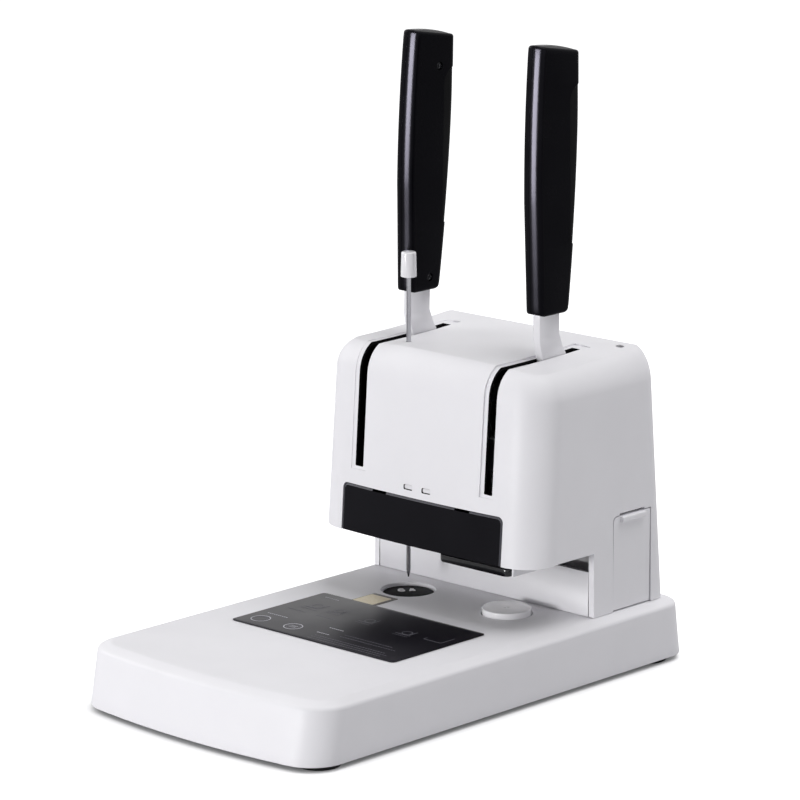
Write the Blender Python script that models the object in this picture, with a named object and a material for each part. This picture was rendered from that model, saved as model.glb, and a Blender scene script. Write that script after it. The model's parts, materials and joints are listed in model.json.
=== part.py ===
"""Two-lever desk machine that drills a stack of paper and closes a hot rivet in it.

The left lever feeds a hollow drill, the right one a heated press. Each lever turns a sector
gear, and the gear pushes a rack down. Lengths are in metres, +X is the machine's right, -Y its
front and +Z is up. The origin lies on the table, under the middle of the base.
"""

import math

import bmesh
import bpy
from mathutils import Vector
from mathutils.geometry import tessellate_polygon

MM = 0.001

# Fits that every piece shares
FIT = 0.3 * MM            # gap between pieces that touch
DRILL_HOLE_CLEARANCE = 2.5 * MM
RUN = 0.5 * MM            # running clearance of things that slide or turn
OVERRUN = 20 * MM         # how far a cutter reaches past what it cuts
WELD = 1 * MM             # overlap of shapes that are joined into one

# Base
BASE_WIDTH = 220 * MM
BASE_LENGTH = 380 * MM
FOOT_HEIGHT = 3.5 * MM
BASE_HEIGHT = 40.9 * MM
BASE_WALL = 2.6 * MM
RIM_DROP = 3.4 * MM
RIM_WIDTH = 8.6 * MM
RIM_FLARE = 0.5 * MM
FRONT_LEAN = 7.2 * MM
REAR_LEAN = 6.0 * MM
FRONT_SAG = 9.4 * MM
FRONT_CORNER = 26 * MM
REAR_CORNER = 20 * MM
LEAST_CORNER = 6 * MM
PLATE_THICKNESS = 1.6 * MM
PLATE_RISE = 0.5 * MM
FOOT_RADIUS = 15 * MM
FOOT_SIDE_INSET = 18.5 * MM
FOOT_FRONT_INSET = 30 * MM
FOOT_REAR_INSET = 27 * MM
FOOT_BEVEL = 1 * MM
FOOT_SCREW_RADIUS = 4 * MM
FOOT_SCREW_DEPTH = 1.8 * MM

# Deck
PANEL_WIDTH = 149.7 * MM
PANEL_LENGTH = 90.3 * MM
PANEL_THICKNESS = 0.4 * MM
PANEL_CORNER = 3 * MM
PANEL_REACH = 123.9 * MM      # from the column's front to the panel's middle
DRILL_X = -39.9 * MM
DRILL_REACH = 31.3 * MM       # from the column's front to the drill
RIVET_X = 48.9 * MM
RIVET_REACH = 29.1 * MM
PAD_RADIUS = 18.1 * MM
PAD_THICKNESS = 5 * MM
PAD_DROP = 2.4 * MM
PAD_HOLE_RADIUS = 19.1 * MM
CUP_WALL = 2.6 * MM
CUP_STEM_RADIUS = 8 * MM
CAP_RADIUS = 16.9 * MM
CAP_RISE = 4 * MM
CAP_HEIGHT = 12 * MM
CAP_GAP = 0.9 * MM
CAP_BEVEL = 0.8 * MM
CAP_SOCKET_DEPTH = 6 * MM
POST_RADIUS = 10 * MM
POST_FOOT_RADIUS = 16 * MM
POST_FOOT_HEIGHT = 5 * MM

# Column and head in one housing
SIDE_SETBACK = 8.9 * MM
SIDE_WALL = 4.4 * MM
FACE_WALL = 3 * MM
SIDE_DRAFT = 0.0133
REAR_SLOPE = 0.0722
FACE_SLOPE = 0.0668
HEAD_SAG = 2.4 * MM
WINDOW_HALF = 73.2 * MM
HEAD_REAR_GAP = 1.4 * MM
HEAD_LOW_Z = 87.7 * MM
HEAD_EDGE_RISE_DEPTH = 30 * MM
HEAD_SIDE_LOW_Z = 89.4 * MM
HEAD_TOP_Z = 218.6 * MM
TOP_RISE = 6.1 * MM
TOP_RISE_DEPTH = 21.8 * MM     # level part of the top, from the front
CROWN = 1.8 * MM
HEAD_CORNER = 26 * MM
HEAD_REAR_CORNER = 12 * MM
TOP_ROLL = 20 * MM
REAR_ROLL = 9 * MM
COLUMN_DEPTH = 79.7 * MM
HEAD_OVERHANG = 65.5 * MM
COLUMN_PANEL_TOP_Z = 75.7 * MM
COLUMN_PANEL_WALL = 3 * MM
WINDOW_TOP_Z = 120.9 * MM
WINDOW_CORNER = 4 * MM
WINDOW_WALL = 2.2 * MM
SLOT_X = 59.17 * MM
SLOT_WIDTH = 7.3 * MM
SLOT_REAR_DEPTH = 28.5 * MM
SLOT_FOOT_Z = 134 * MM
LENS_WIDTH = 7.6 * MM
LENS_HEIGHT = 3 * MM
LENS_Z = 127.8 * MM
LEFT_LENS_X = -11.2 * MM
RIGHT_LENS_X = 5.4 * MM
TOP_SCREW_X = 78.6 * MM
TOP_SCREW_DEPTH = 51.3 * MM
TOP_SCREW_RADIUS = 2.9 * MM

# Drawer in the right side of the column
DRAWER_TOP_Z = 110.6 * MM
DRAWER_SETBACK = 20.5 * MM
DRAWER_WIDTH = 39 * MM
DRAWER_DEPTH = 57 * MM
DRAWER_WALL = 2 * MM
DRAWER_CORNER = 4 * MM
DRAWER_GAP = 0.5 * MM
PULL_SIDE = 6.5 * MM
PULL_HEIGHT = 4.6 * MM
PULL_REACH = 2.6 * MM
SCOOP_HEIGHT = 6 * MM
SCOOP_DEPTH = 2.6 * MM

# Levers
LEVER_THICKNESS = 6 * MM
LEVER_DEPTH = 20.2 * MM
LEVER_REACH = 2.3 * MM
LEVER_HUB_RADIUS = 15 * MM
LEVER_HUB_START = 170
LEVER_HUB_END = 370
LEVER_HUB_STEPS = 12
LEVER_SWEEP = 5.2 * MM         # how far the front edge falls back at the slot
LEVER_FLARE = 10 * MM          # how far the rear edge runs out there
LEVER_BEND_RISE = 15.4 * MM    # where the bend starts, above the head
LEVER_BEND_HEIGHT = 26 * MM
TANG_DROP = 34 * MM
LEVER_TOE_IN = math.radians(0.88)   # lean of the two grips towards each other
GRIP_RISE = 31.4 * MM          # bottom of the grip, above the head
GRIP_LENGTH = 180 * MM
GRIP_TOP_SLOPE = 8.5 * MM
GRIP_LOW_BULGE = 2.6 * MM
GRIP_THICKNESS = 14.5 * MM
GRIP_CORNER = 6 * MM
GRIP_EDGE = 2 * MM
GRIP_LOW_FRONT = 15.5 * MM     # grip edges, from the middle of the lever bar
GRIP_MID_FRONT = 17.5 * MM
GRIP_TOP_FRONT = 12.4 * MM
GRIP_LOW_REAR = 17.8 * MM
GRIP_TOP_REAR = 29 * MM
INLAY_FRONT = 16.6 * MM
INLAY_RISE = 44 * MM
INLAY_TOP_DROP = 28 * MM
INLAY_CORNER = 12 * MM
INLAY_DROP = 0.5 * MM
GRIP_SCREW_RADIUS = 2.6 * MM
GRIP_SCREW_DEPTH = 2.6 * MM
GRIP_SCREW_HEAD = 1.6 * MM
LOW_SCREW_OFFSET = 4.9 * MM
LOW_SCREW_RISE = 7.8 * MM
TOP_SCREW_OFFSET = 12 * MM
TOP_SCREW_DROP = 26.5 * MM

# Gears: each rack stands in front of its sector and goes down as the lever comes forward
GEAR_MODULE = 2 * MM
PRESSURE_ANGLE = math.radians(20)
BACKLASH = 0.5 * MM
ADDENDUM_SHARE = 1.0
DEDENDUM_SHARE = 1.2
PUNCH_TEETH = 32
RIVET_TEETH = 24
PUNCH_GEAR_WIDTH = 7 * MM
RIVET_GEAR_WIDTH = 8 * MM
LEVER_TRAVEL = math.radians(74)
PIVOT_RISE = 47.5 * MM         # from the head's floor to the levers' pivot
SHAFT_RADIUS = 5 * MM
HUB_RADIUS = 9 * MM
HUB_WALL = 4 * MM

# Drill
QUILL_RADIUS = 9.5 * MM
QUILL_DROP = 10 * MM
QUILL_HEAD_GAP = 12.6 * MM     # from the quill's top to the top of the head
QUILL_RACK_OFFSET = 6.8 * MM
SPINDLE_RADIUS = 3.2 * MM
SPINDLE_BORE = 2 * MM
BIT_RADIUS = 3 * MM
BIT_BORE = 2.15 * MM
BIT_EDGE = 2.5 * MM
CHUCK_RADIUS = 8 * MM
CHUCK_NOSE_RADIUS = 5.5 * MM
CHUCK_LENGTH = 15.7 * MM
CHUCK_BEVEL = 4 * MM
CHUCK_ENGAGEMENT = 5.7 * MM
PULLEY_RADIUS = 10.5 * MM
PULLEY_HEIGHT = 6 * MM
PULLEY_FLANGE = 1.2 * MM
BELT_THICKNESS = 1.2 * MM
BELT_WIDTH = 3.4 * MM
MOTOR_X = -4 * MM
MOTOR_RADIUS = 15 * MM
MOTOR_LENGTH = 44 * MM
MOTOR_BOSS_RADIUS = 5 * MM
MOTOR_SHAFT_RADIUS = 1.5 * MM
MOTOR_PULLEY_RADIUS = 6 * MM
CARRIER_THICKNESS = 3 * MM
CARRIER_MARGIN = 2.5 * MM
CARRIER_DROP = 4 * MM
QUILL_GUIDE_RISE = 6 * MM
QUILL_GUIDE_HEIGHT = 16 * MM
GUIDE_WALL = 3.2 * MM

# Clearing needle
NEEDLE_RADIUS = 1.55 * MM
NEEDLE_LOW_Z = 53.4 * MM
NEEDLE_POINT = 5 * MM
NEEDLE_TIP_RADIUS = 0.4 * MM
KNOB_RISE = 46.2 * MM
KNOB_HEIGHT = 17.4 * MM
KNOB_RADIUS = 5.5 * MM
KNOB_FLARE = 0.3 * MM
KNOB_SOCKET = 10 * MM
KNOB_BEVEL = 1.2 * MM

# Hot press
RAM_WIDTH = 10 * MM
RAM_FRONT_DEPTH = 10.6 * MM
RAM_HEAD_GAP = 26.6 * MM
INSULATOR_THICKNESS = 3.4 * MM
INSULATOR_SIDE = 22 * MM
HEATER_SIDE = 26 * MM
HEATER_HEIGHT = 14 * MM
HEATER_BORE = 3.2 * MM
DIE_RADIUS = 7.6 * MM
DIE_TIP_RADIUS = 5 * MM
DIE_TIP_DEPTH = 3 * MM
DIE_LENGTH = 13.4 * MM
FOOT_PLATE_LOW_Z = 80 * MM
FOOT_PLATE_THICKNESS = 4.7 * MM
FOOT_PLATE_LEFT_X = 12.8 * MM
FOOT_PLATE_SETBACK = 7 * MM
FOOT_PLATE_REAR_GAP = 5.7 * MM
FOOT_PLATE_CORNER = 4 * MM
FOOT_PLATE_NOSE = 4.2 * MM      # radius under its left end
FOOT_HUB_WALL = 3 * MM
FOOT_HUB_GAP = 1 * MM
RAM_GUIDE_RISE = 8 * MM
RAM_GUIDE_HEIGHT = 22 * MM
RAM_GUIDE_THIN = 1.4 * MM
RAM_GUIDE_FRONT = 5 * MM
GUIDE_REAR_GAP = 7.7 * MM
SHEET = 1.5 * MM
SHROUD_SIDE_GAP = 3.8 * MM
SHROUD_LOW_Z = 81.2 * MM
SHROUD_CLEARANCE = 1.2 * MM

# Chassis
FLOOR_LOW_Z = 90.5 * MM
FLOOR_THICKNESS = 2.5 * MM
FLOOR_FRONT_GAP = 3.4 * MM
FLOOR_REAR_DEPTH = 19.7 * MM
CHASSIS_PLATE = 3 * MM
CHASSIS_REAR_DEPTH = 35.3 * MM
CHASSIS_ARM_REACH = 15.7 * MM
DECK_OPENING_DEPTH = 12.3 * MM
DECK_OPENING_MARGIN = 15.4 * MM
CHASSIS_OUTER_X = 71 * MM
PUNCH_INNER_X = -27 * MM
RIVET_INNER_X = 33.7 * MM
LOWER_FRAME_RIGHT_X = 38 * MM
DECK_OPENING_LEFT_X = -78 * MM
TIE_THICKNESS = 2.5 * MM
TIE_SLOT_DEPTH = 21.3 * MM

# Electrical fittings on the rear
INLET_X = -52 * MM
INLET_Z = 74 * MM
INLET_WIDTH = 27.6 * MM
INLET_HEIGHT = 20 * MM
INLET_DEPTH = 18 * MM
INLET_FLANGE = 2.4 * MM
INLET_RIM = 3.5 * MM
INLET_CORNER = 5 * MM
INLET_WALL = 2 * MM
SWITCH_X = -12 * MM
SWITCH_WIDTH = 13 * MM
SWITCH_HEIGHT = 19 * MM
SWITCH_DEPTH = 16 * MM
SWITCH_RIM = 1.8 * MM
ROCKER_TILT = math.radians(8)
ROCKER_WALL = 1.5 * MM
ROCKER_ROOT = 5 * MM
ROCKER_RISE = 1.2 * MM
BOARD_WIDTH = 90 * MM
BOARD_LENGTH = 70 * MM
BOARD_THICKNESS = 1.6 * MM
BOARD_RISE = 6 * MM
BOARD_REACH = 155.7 * MM
STANDOFF_RADIUS = 3 * MM

# Shares of a length, chosen by eye
LEVER_SWEEP_SHARES = ((0.15, 0.06), (0.38, 0.33), (0.58, 0.62), (1.0, 1.0))
LEVER_FLARE_SHARES = ((0.13, 0.14), (0.38, 0.41), (0.54, 0.67), (1.0, 1.0))
GRIP_BELLY_SHARE = 0.42
FOOT_PLATE_SIDE_SHARE = 0.505  # of the room between the press and the column's side
CHASSIS_TOP_SHARE = 0.633      # of the room over the gears
GRIP_EASE_SHARE = 0.8
GRIP_EASE_POWER = 1.6
TOP_RING_SHARES = (0.84, 0.62, 0.34)

CORNER_STEPS = 7
REAR_CORNER_STEPS = 5
SIDE_STEPS = 4
GRIP_LEVELS = 9
FULL_TURN = 360
QUARTER_TURN = 90
BOW_STEPS = 8
ROLL_STEPS = 6
ROUND_STEPS = 32
SMALL_ROUND_STEPS = 20
FILLET_STEPS = 4

# Places worked out from the sizes above
DECK_Z = FOOT_HEIGHT + BASE_HEIGHT
PLATE_LOW_Z = FOOT_HEIGHT + PLATE_RISE
PLATE_TOP_Z = PLATE_LOW_Z + PLATE_THICKNESS
DECK_UNDER_Z = DECK_Z - BASE_WALL
FOOT_X = BASE_WIDTH / 2 - FOOT_SIDE_INSET
FOOT_FRONT_Y = FOOT_FRONT_INSET - BASE_LENGTH / 2
FOOT_REAR_Y = BASE_LENGTH / 2 - FOOT_REAR_INSET
SIDE_X = BASE_WIDTH / 2 + RIM_FLARE - SIDE_SETBACK
DECK_REAR_Y = BASE_LENGTH / 2 - REAR_LEAN - RIM_WIDTH
COLUMN_FRONT_Y = DECK_REAR_Y - COLUMN_DEPTH
HEAD_FRONT_Y = COLUMN_FRONT_Y - HEAD_OVERHANG
TOP_RISE_START_Y = HEAD_FRONT_Y + TOP_RISE_DEPTH
SLOT_REAR_Y = COLUMN_FRONT_Y + SLOT_REAR_DEPTH
TOP_SCREW_Y = COLUMN_FRONT_Y + TOP_SCREW_DEPTH
PANEL_Y = COLUMN_FRONT_Y - PANEL_REACH
DRILL_Y = COLUMN_FRONT_Y - DRILL_REACH
RIVET_Y = COLUMN_FRONT_Y - RIVET_REACH
DRAWER_FRONT_Y = COLUMN_FRONT_Y + DRAWER_SETBACK
DRAWER_REAR_Y = DRAWER_FRONT_Y + DRAWER_WIDTH
LEVER_Y = COLUMN_FRONT_Y - LEVER_REACH
GRIP_LOW_Z = HEAD_TOP_Z + GRIP_RISE
GRIP_TOP_Z = GRIP_LOW_Z + GRIP_LENGTH
TANG_TOP_Z = GRIP_TOP_Z - TANG_DROP
INLAY_LOW_Z = GRIP_LOW_Z + INLAY_RISE
INLAY_TOP_Z = GRIP_TOP_Z - INLAY_TOP_DROP
PUNCH_PITCH = GEAR_MODULE * PUNCH_TEETH / 2
RIVET_PITCH = GEAR_MODULE * RIVET_TEETH / 2
ADDENDUM = GEAR_MODULE * ADDENDUM_SHARE
DEDENDUM = GEAR_MODULE * DEDENDUM_SHARE
PIVOT_Y = DRILL_Y + QUILL_RACK_OFFSET + PUNCH_PITCH
PIVOT_Z = FLOOR_LOW_Z + PIVOT_RISE
PUNCH_STROKE = PUNCH_PITCH * LEVER_TRAVEL
RIVET_STROKE = RIVET_PITCH * LEVER_TRAVEL
PAD_TOP_Z = DECK_Z - PAD_DROP
CAP_TOP_Z = DECK_Z + CAP_RISE
BIT_LOW_Z = PAD_TOP_Z + FIT + PUNCH_STROKE
QUILL_LOW_Z = PIVOT_Z - QUILL_DROP
QUILL_TOP_Z = HEAD_TOP_Z - QUILL_HEAD_GAP
QUILL_GUIDE_LOW_Z = PIVOT_Z + QUILL_GUIDE_RISE
PULLEY_LOW_Z = QUILL_TOP_Z + FIT
CARRIER_TOP_Z = QUILL_TOP_Z - CARRIER_DROP + CARRIER_THICKNESS
CHUCK_TOP_Z = QUILL_LOW_Z - FIT
CHUCK_LOW_Z = CHUCK_TOP_Z - CHUCK_LENGTH
KNOB_LOW_Z = HEAD_TOP_Z + KNOB_RISE
DIE_LOW_Z = FOOT_PLATE_LOW_Z + FIT
HEATER_LOW_Z = DIE_LOW_Z + DIE_LENGTH + FIT
INSULATOR_LOW_Z = HEATER_LOW_Z + HEATER_HEIGHT + FIT
RAM_LOW_Z = INSULATOR_LOW_Z + INSULATOR_THICKNESS + FIT
RAM_TOP_Z = HEAD_TOP_Z - RAM_HEAD_GAP
RAM_GUIDE_LOW_Z = PIVOT_Z + RAM_GUIDE_RISE
RAM_TIP_Y = PIVOT_Y - RIVET_PITCH + ADDENDUM
PRESS_HOLE_SIDE = HEATER_SIDE / 2 + SHROUD_CLEARANCE
FOOT_PLATE_RIGHT_X = RIVET_X + FOOT_PLATE_SIDE_SHARE * (SIDE_X - RIVET_X)
PRESS_HOLE_REAR_Y = RAM_TIP_Y + SHROUD_CLEARANCE
FOOT_PLATE_FRONT_Y = HEAD_FRONT_Y + FOOT_PLATE_SETBACK
FOOT_PLATE_REAR_Y = COLUMN_FRONT_Y - FOOT_PLATE_REAR_GAP
GUIDE_REAR_Y = COLUMN_FRONT_Y - GUIDE_REAR_GAP
FLOOR_TOP_Z = FLOOR_LOW_Z + FLOOR_THICKNESS
FLOOR_REAR_Y = COLUMN_FRONT_Y + FLOOR_REAR_DEPTH
CHASSIS_REAR_Y = COLUMN_FRONT_Y + CHASSIS_REAR_DEPTH
CHASSIS_ARM_FRONT_Y = COLUMN_FRONT_Y - CHASSIS_ARM_REACH
GEAR_TOP_Z = PIVOT_Z + PUNCH_PITCH + ADDENDUM
TIE_ROOM = HEAD_TOP_Z - FACE_WALL - TIE_THICKNESS - RUN - GEAR_TOP_Z
CHASSIS_TOP_Z = GEAR_TOP_Z + CHASSIS_TOP_SHARE * TIE_ROOM
TIE_SLOT_REAR_Y = COLUMN_FRONT_Y + TIE_SLOT_DEPTH
DECK_OPENING_FRONT_Y = COLUMN_FRONT_Y + DECK_OPENING_DEPTH
DECK_OPENING_REAR_Y = DECK_REAR_Y - DECK_OPENING_MARGIN
BOARD_Y = COLUMN_FRONT_Y - BOARD_REACH


def clear_scene():
    """Removes every object that the file opened with."""
    for item in list(bpy.data.objects):
        bpy.data.objects.remove(item, do_unlink=True)


def material(name, colour, roughness, metallic=0.0, alpha=1.0):
    """Makes a plain Principled surface."""
    made = bpy.data.materials.new(name)
    made.use_nodes = True
    shader = made.node_tree.nodes["Principled BSDF"]
    shader.inputs["Base Color"].default_value = (*colour, 1.0)
    shader.inputs["Roughness"].default_value = roughness
    shader.inputs["Metallic"].default_value = metallic
    shader.inputs["Alpha"].default_value = alpha
    return made


def make_materials():
    """Makes the surfaces that the pieces share, by plain name."""
    return {
        "white plastic": material("white_plastic", (0.80, 0.80, 0.81), 0.45),
        "black plastic": material("black_plastic", (0.012, 0.012, 0.013), 0.35),
        "soft black": material("soft_black", (0.010, 0.010, 0.010), 0.7),
        "smoked": material("smoked_plastic", (0.03, 0.03, 0.035), 0.12, 0.0, 0.85),
        "white paint": material("white_painted_steel", (0.76, 0.76, 0.75), 0.4),
        "steel": material("bright_steel", (0.55, 0.55, 0.56), 0.25, 1.0),
        "dark steel": material("blackened_steel", (0.05, 0.05, 0.055), 0.4, 0.8),
        "zinc": material("zinc_plated_steel", (0.50, 0.50, 0.50), 0.4, 1.0),
        "aluminium": material("aluminium", (0.60, 0.60, 0.61), 0.35, 1.0),
        "brass": material("brass", (0.60, 0.44, 0.18), 0.35, 1.0),
        "rubber": material("black_rubber", (0.015, 0.015, 0.015), 0.85),
        "lens": material("frosted_lens", (0.72, 0.74, 0.75), 0.3),
        "film": material("printed_film", (0.02, 0.02, 0.022), 0.3),
        "ceramic": material("ceramic", (0.70, 0.66, 0.58), 0.7),
        "board": material("circuit_board", (0.03, 0.16, 0.07), 0.5),
    }


def finish(name, shape, surface, origin=(0.0, 0.0, 0.0), sharp=35.0):
    """Turns a bmesh into a named object whose origin is the given point."""
    centre = Vector(origin)
    bmesh.ops.translate(shape, verts=shape.verts, vec=-centre)
    bmesh.ops.recalc_face_normals(shape, faces=shape.faces)
    mesh = bpy.data.meshes.new(name)
    shape.to_mesh(mesh)
    shape.free()
    mesh.shade_smooth()
    mesh.set_sharp_from_angle(angle=math.radians(sharp))
    item = bpy.data.objects.new(name, mesh)
    item.location = centre
    if surface is not None:
        mesh.materials.append(surface)
    bpy.context.scene.collection.objects.link(item)
    return item


def helper(name, shape):
    """Makes an object that only shapes another one."""
    item = finish(name, shape, None)
    item.hide_render = True
    item.display_type = "WIRE"
    return item


def combine(item, other, operation):
    """Cuts, joins or keeps the common part with a Boolean that stays on the object."""
    step = item.modifiers.new(operation.lower() + "_" + other.name, "BOOLEAN")
    step.operation = operation
    step.solver = "EXACT"
    step.object = other


def put(axis, along, first, second):
    """Places a point of a section that lies across the given axis."""
    if axis == "x":
        return (along, first, second)
    if axis == "y":
        return (first, along, second)
    return (first, second, along)


def add_prism(shape, loops, low, high, axis):
    """Adds a straight solid whose section is an outline with any holes."""
    flat = [point for loop in loops for point in loop]
    vectors = [[Vector((a, b, 0.0)) for a, b in loop] for loop in loops]
    triangles = tessellate_polygon(vectors)
    ends = [[shape.verts.new(put(axis, along, a, b)) for a, b in flat] for along in (low, high)]
    for corners in triangles:
        for end in ends:
            shape.faces.new([end[corner] for corner in corners])
    start = 0
    for loop in loops:
        count = len(loop)
        for i in range(count):
            j = (i + 1) % count
            bottom = (ends[0][start + i], ends[0][start + j])
            top = (ends[1][start + j], ends[1][start + i])
            shape.faces.new((*bottom, *top))
        start += count


def prism(loops, low, high, axis):
    """Makes a straight solid of its own."""
    shape = bmesh.new()
    add_prism(shape, loops, low, high, axis)
    return shape


def add_turned(shape, profile, steps, axis, centre):
    """Adds a solid turned about an axis; the profile is a closed list of (radius, along)."""
    rings = []
    for radius, along in profile:
        if radius == 0.0:
            rings.append([shape.verts.new(turned_point(axis, centre, 0.0, 0.0, along))])
            continue
        angles = [2 * math.pi * i / steps for i in range(steps)]
        rings.append([shape.verts.new(turned_point(axis, centre, radius, a, along)) for a in angles])
    for one, two in zip(rings, rings[1:] + rings[:1]):
        if len(one) == 1 and len(two) == 1:
            continue
        for i in range(steps):
            j = (i + 1) % steps
            if len(one) == 1:
                shape.faces.new((one[0], two[i], two[j]))
            elif len(two) == 1:
                shape.faces.new((one[i], one[j], two[0]))
            else:
                shape.faces.new((one[i], one[j], two[j], two[i]))


def turned_point(axis, centre, radius, angle, along):
    """Gives the world place of a point on a turned solid."""
    first = radius * math.cos(angle)
    second = radius * math.sin(angle)
    if axis == "x":
        return (along, centre[0] + first, centre[1] + second)
    if axis == "y":
        return (centre[0] + first, along, centre[1] + second)
    return (centre[0] + first, centre[1] + second, along)


def turned(profile, steps, axis, centre):
    """Makes a turned solid of its own."""
    shape = bmesh.new()
    add_turned(shape, profile, steps, axis, centre)
    return shape


def rod(radius, low, high):
    """Gives the profile of a plain round bar."""
    return [(0.0, low), (radius, low), (radius, high), (0.0, high)]


def tube(outer, inner, low, high):
    """Gives the profile of a plain tube."""
    return [(inner, low), (outer, low), (outer, high), (inner, high)]


def add_loft(shape, rings, low_cap=True, high_cap=True):
    """Joins rings of the same count into one skin and closes its ends."""
    made = [[shape.verts.new(point) for point in ring] for ring in rings]
    count = len(made[0])
    for one, two in zip(made, made[1:]):
        for i in range(count):
            j = (i + 1) % count
            shape.faces.new((one[i], one[j], two[j], two[i]))
    for ring, wanted in ((made[0], low_cap), (made[-1], high_cap)):
        if wanted:
            middle = sum((v.co for v in ring), Vector()) / count
            hub = shape.verts.new(middle)
            for i in range(count):
                shape.faces.new((ring[i], ring[(i + 1) % count], hub))


def arc(centre, radius, start, end, steps):
    """Gives points on an arc, with angles in degrees."""
    points = []
    for i in range(steps + 1):
        angle = math.radians(start + (end - start) * i / steps)
        points.append((centre[0] + radius * math.cos(angle), centre[1] + radius * math.sin(angle)))
    return points


def box(low, high):
    """Gives the corners of a rectangle."""
    return [(low[0], low[1]), (high[0], low[1]), (high[0], high[1]), (low[0], high[1])]


def rounded_box(low, high, radius, steps=FILLET_STEPS):
    """Gives a rectangle with round corners."""
    left, right = low[0] + radius, high[0] - radius
    bottom, top = low[1] + radius, high[1] - radius
    points = arc((right, top), radius, 0, 90, steps)
    points += arc((left, top), radius, 90, 180, steps)
    points += arc((left, bottom), radius, 180, 270, steps)
    points += arc((right, bottom), radius, 270, 360, steps)
    return points


def circle(centre, radius, steps=SMALL_ROUND_STEPS):
    """Gives a full circle of points."""
    return arc(centre, radius, 0, FULL_TURN - FULL_TURN / steps, steps - 1)


def plan(half, front, rear, front_corner, rear_corner, sag, sag_half):
    """Gives an outline seen from above: straight sides and rear, and a bowed front."""
    bow = sag / sag_half ** 2
    front_corner = max(front_corner, LEAST_CORNER)
    rear_corner = max(rear_corner, LEAST_CORNER)
    run = half - front_corner
    corner_y = front + bow * run ** 2 + front_corner
    rear_y = rear - rear_corner
    side = [rear_y + (corner_y - rear_y) * i / SIDE_STEPS for i in range(1, SIDE_STEPS)]
    points = arc((half - rear_corner, rear_y), rear_corner, 0, 90, REAR_CORNER_STEPS)
    points += arc((rear_corner - half, rear_y), rear_corner, 90, 180, REAR_CORNER_STEPS)
    points += [(-half, y) for y in side]
    points += arc((-run, corner_y), front_corner, 180, 270, CORNER_STEPS)
    for i in range(1, BOW_STEPS):
        x = -run + 2 * run * i / BOW_STEPS
        points.append((x, front + bow * x ** 2))
    points += arc((run, corner_y), front_corner, 270, 360, CORNER_STEPS)
    points += [(half, y) for y in reversed(side)]
    return points


def base_outline(inset, height_share):
    """Gives the base's outline at a share of the skirt's height, moved inwards by an inset."""
    half = BASE_WIDTH / 2 + RIM_FLARE * height_share - inset
    front = -BASE_LENGTH / 2 + FRONT_LEAN * height_share + inset
    rear = BASE_LENGTH / 2 - REAR_LEAN * height_share - inset
    return plan(half, front, rear, FRONT_CORNER - inset, REAR_CORNER - inset, FRONT_SAG, BASE_WIDTH / 2)


def level(points, z):
    """Lifts an outline to a height."""
    return [(x, y, z) for x, y in points]


def make_base(surface):
    """Makes the hollow base: skirt, broken rim and deck, open below."""
    rim_z = DECK_Z - RIM_DROP
    rings = [
        level(base_outline(RIM_WIDTH, 1.0), DECK_UNDER_Z),
        level(base_outline(BASE_WALL, 1.0), rim_z - BASE_WALL / 2),
        level(base_outline(BASE_WALL, 0.0), FOOT_HEIGHT),
        level(base_outline(0.0, 0.0), FOOT_HEIGHT),
        level(base_outline(0.0, 1.0), rim_z),
        level(base_outline(RIM_WIDTH, 1.0), DECK_Z),
    ]
    shape = bmesh.new()
    add_loft(shape, rings)
    base = finish("base_shell", shape, surface)
    holes = bmesh.new()
    low, high = DECK_UNDER_Z - OVERRUN / 2, DECK_Z + OVERRUN
    add_turned(holes, rod(PAD_HOLE_RADIUS, low, high), ROUND_STEPS, "z", (DRILL_X, DRILL_Y))
    add_turned(holes, rod(CAP_RADIUS + CAP_GAP, low, high), ROUND_STEPS, "z", (RIVET_X, RIVET_Y))
    opening = box(
        (DECK_OPENING_LEFT_X, DECK_OPENING_FRONT_Y),
        (LOWER_FRAME_RIGHT_X + RUN, DECK_OPENING_REAR_Y),
    )
    add_prism(holes, [opening], low, high, "z")
    combine(base, helper("deck_openings", holes), "DIFFERENCE")
    return base


def make_base_plate(surface):
    """Makes the steel plate that closes the base from below."""
    inside = base_outline(BASE_WALL + RUN, 0.0)
    return finish("base_plate", prism([inside], PLATE_LOW_Z, PLATE_TOP_Z, "z"), surface)


def make_feet(surface):
    """Makes the four rubber feet under the corners of the plate."""
    top = PLATE_LOW_Z - FIT
    profile = [
        (0.0, FOOT_SCREW_DEPTH),
        (FOOT_SCREW_RADIUS, FOOT_SCREW_DEPTH),
        (FOOT_SCREW_RADIUS, 0.0),
        (FOOT_RADIUS - FOOT_BEVEL, 0.0),
        (FOOT_RADIUS, FOOT_BEVEL),
        (FOOT_RADIUS, top),
        (0.0, top),
    ]
    places = {
        "foot_front_left": (-FOOT_X, FOOT_FRONT_Y),
        "foot_front_right": (FOOT_X, FOOT_FRONT_Y),
        "foot_rear_left": (-FOOT_X, FOOT_REAR_Y),
        "foot_rear_right": (FOOT_X, FOOT_REAR_Y),
    }
    for name, centre in places.items():
        finish(name, turned(profile, SMALL_ROUND_STEPS, "z", centre), surface)


def make_panel(surface):
    """Makes the film panel that lies on the deck in front of the head."""
    low = (-PANEL_WIDTH / 2, PANEL_Y - PANEL_LENGTH / 2)
    high = (PANEL_WIDTH / 2, PANEL_Y + PANEL_LENGTH / 2)
    outline = rounded_box(low, high, PANEL_CORNER)
    bottom = DECK_Z + FIT
    shape = prism([outline], bottom, bottom + PANEL_THICKNESS, "z")
    finish("instruction_panel", shape, surface)


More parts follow.
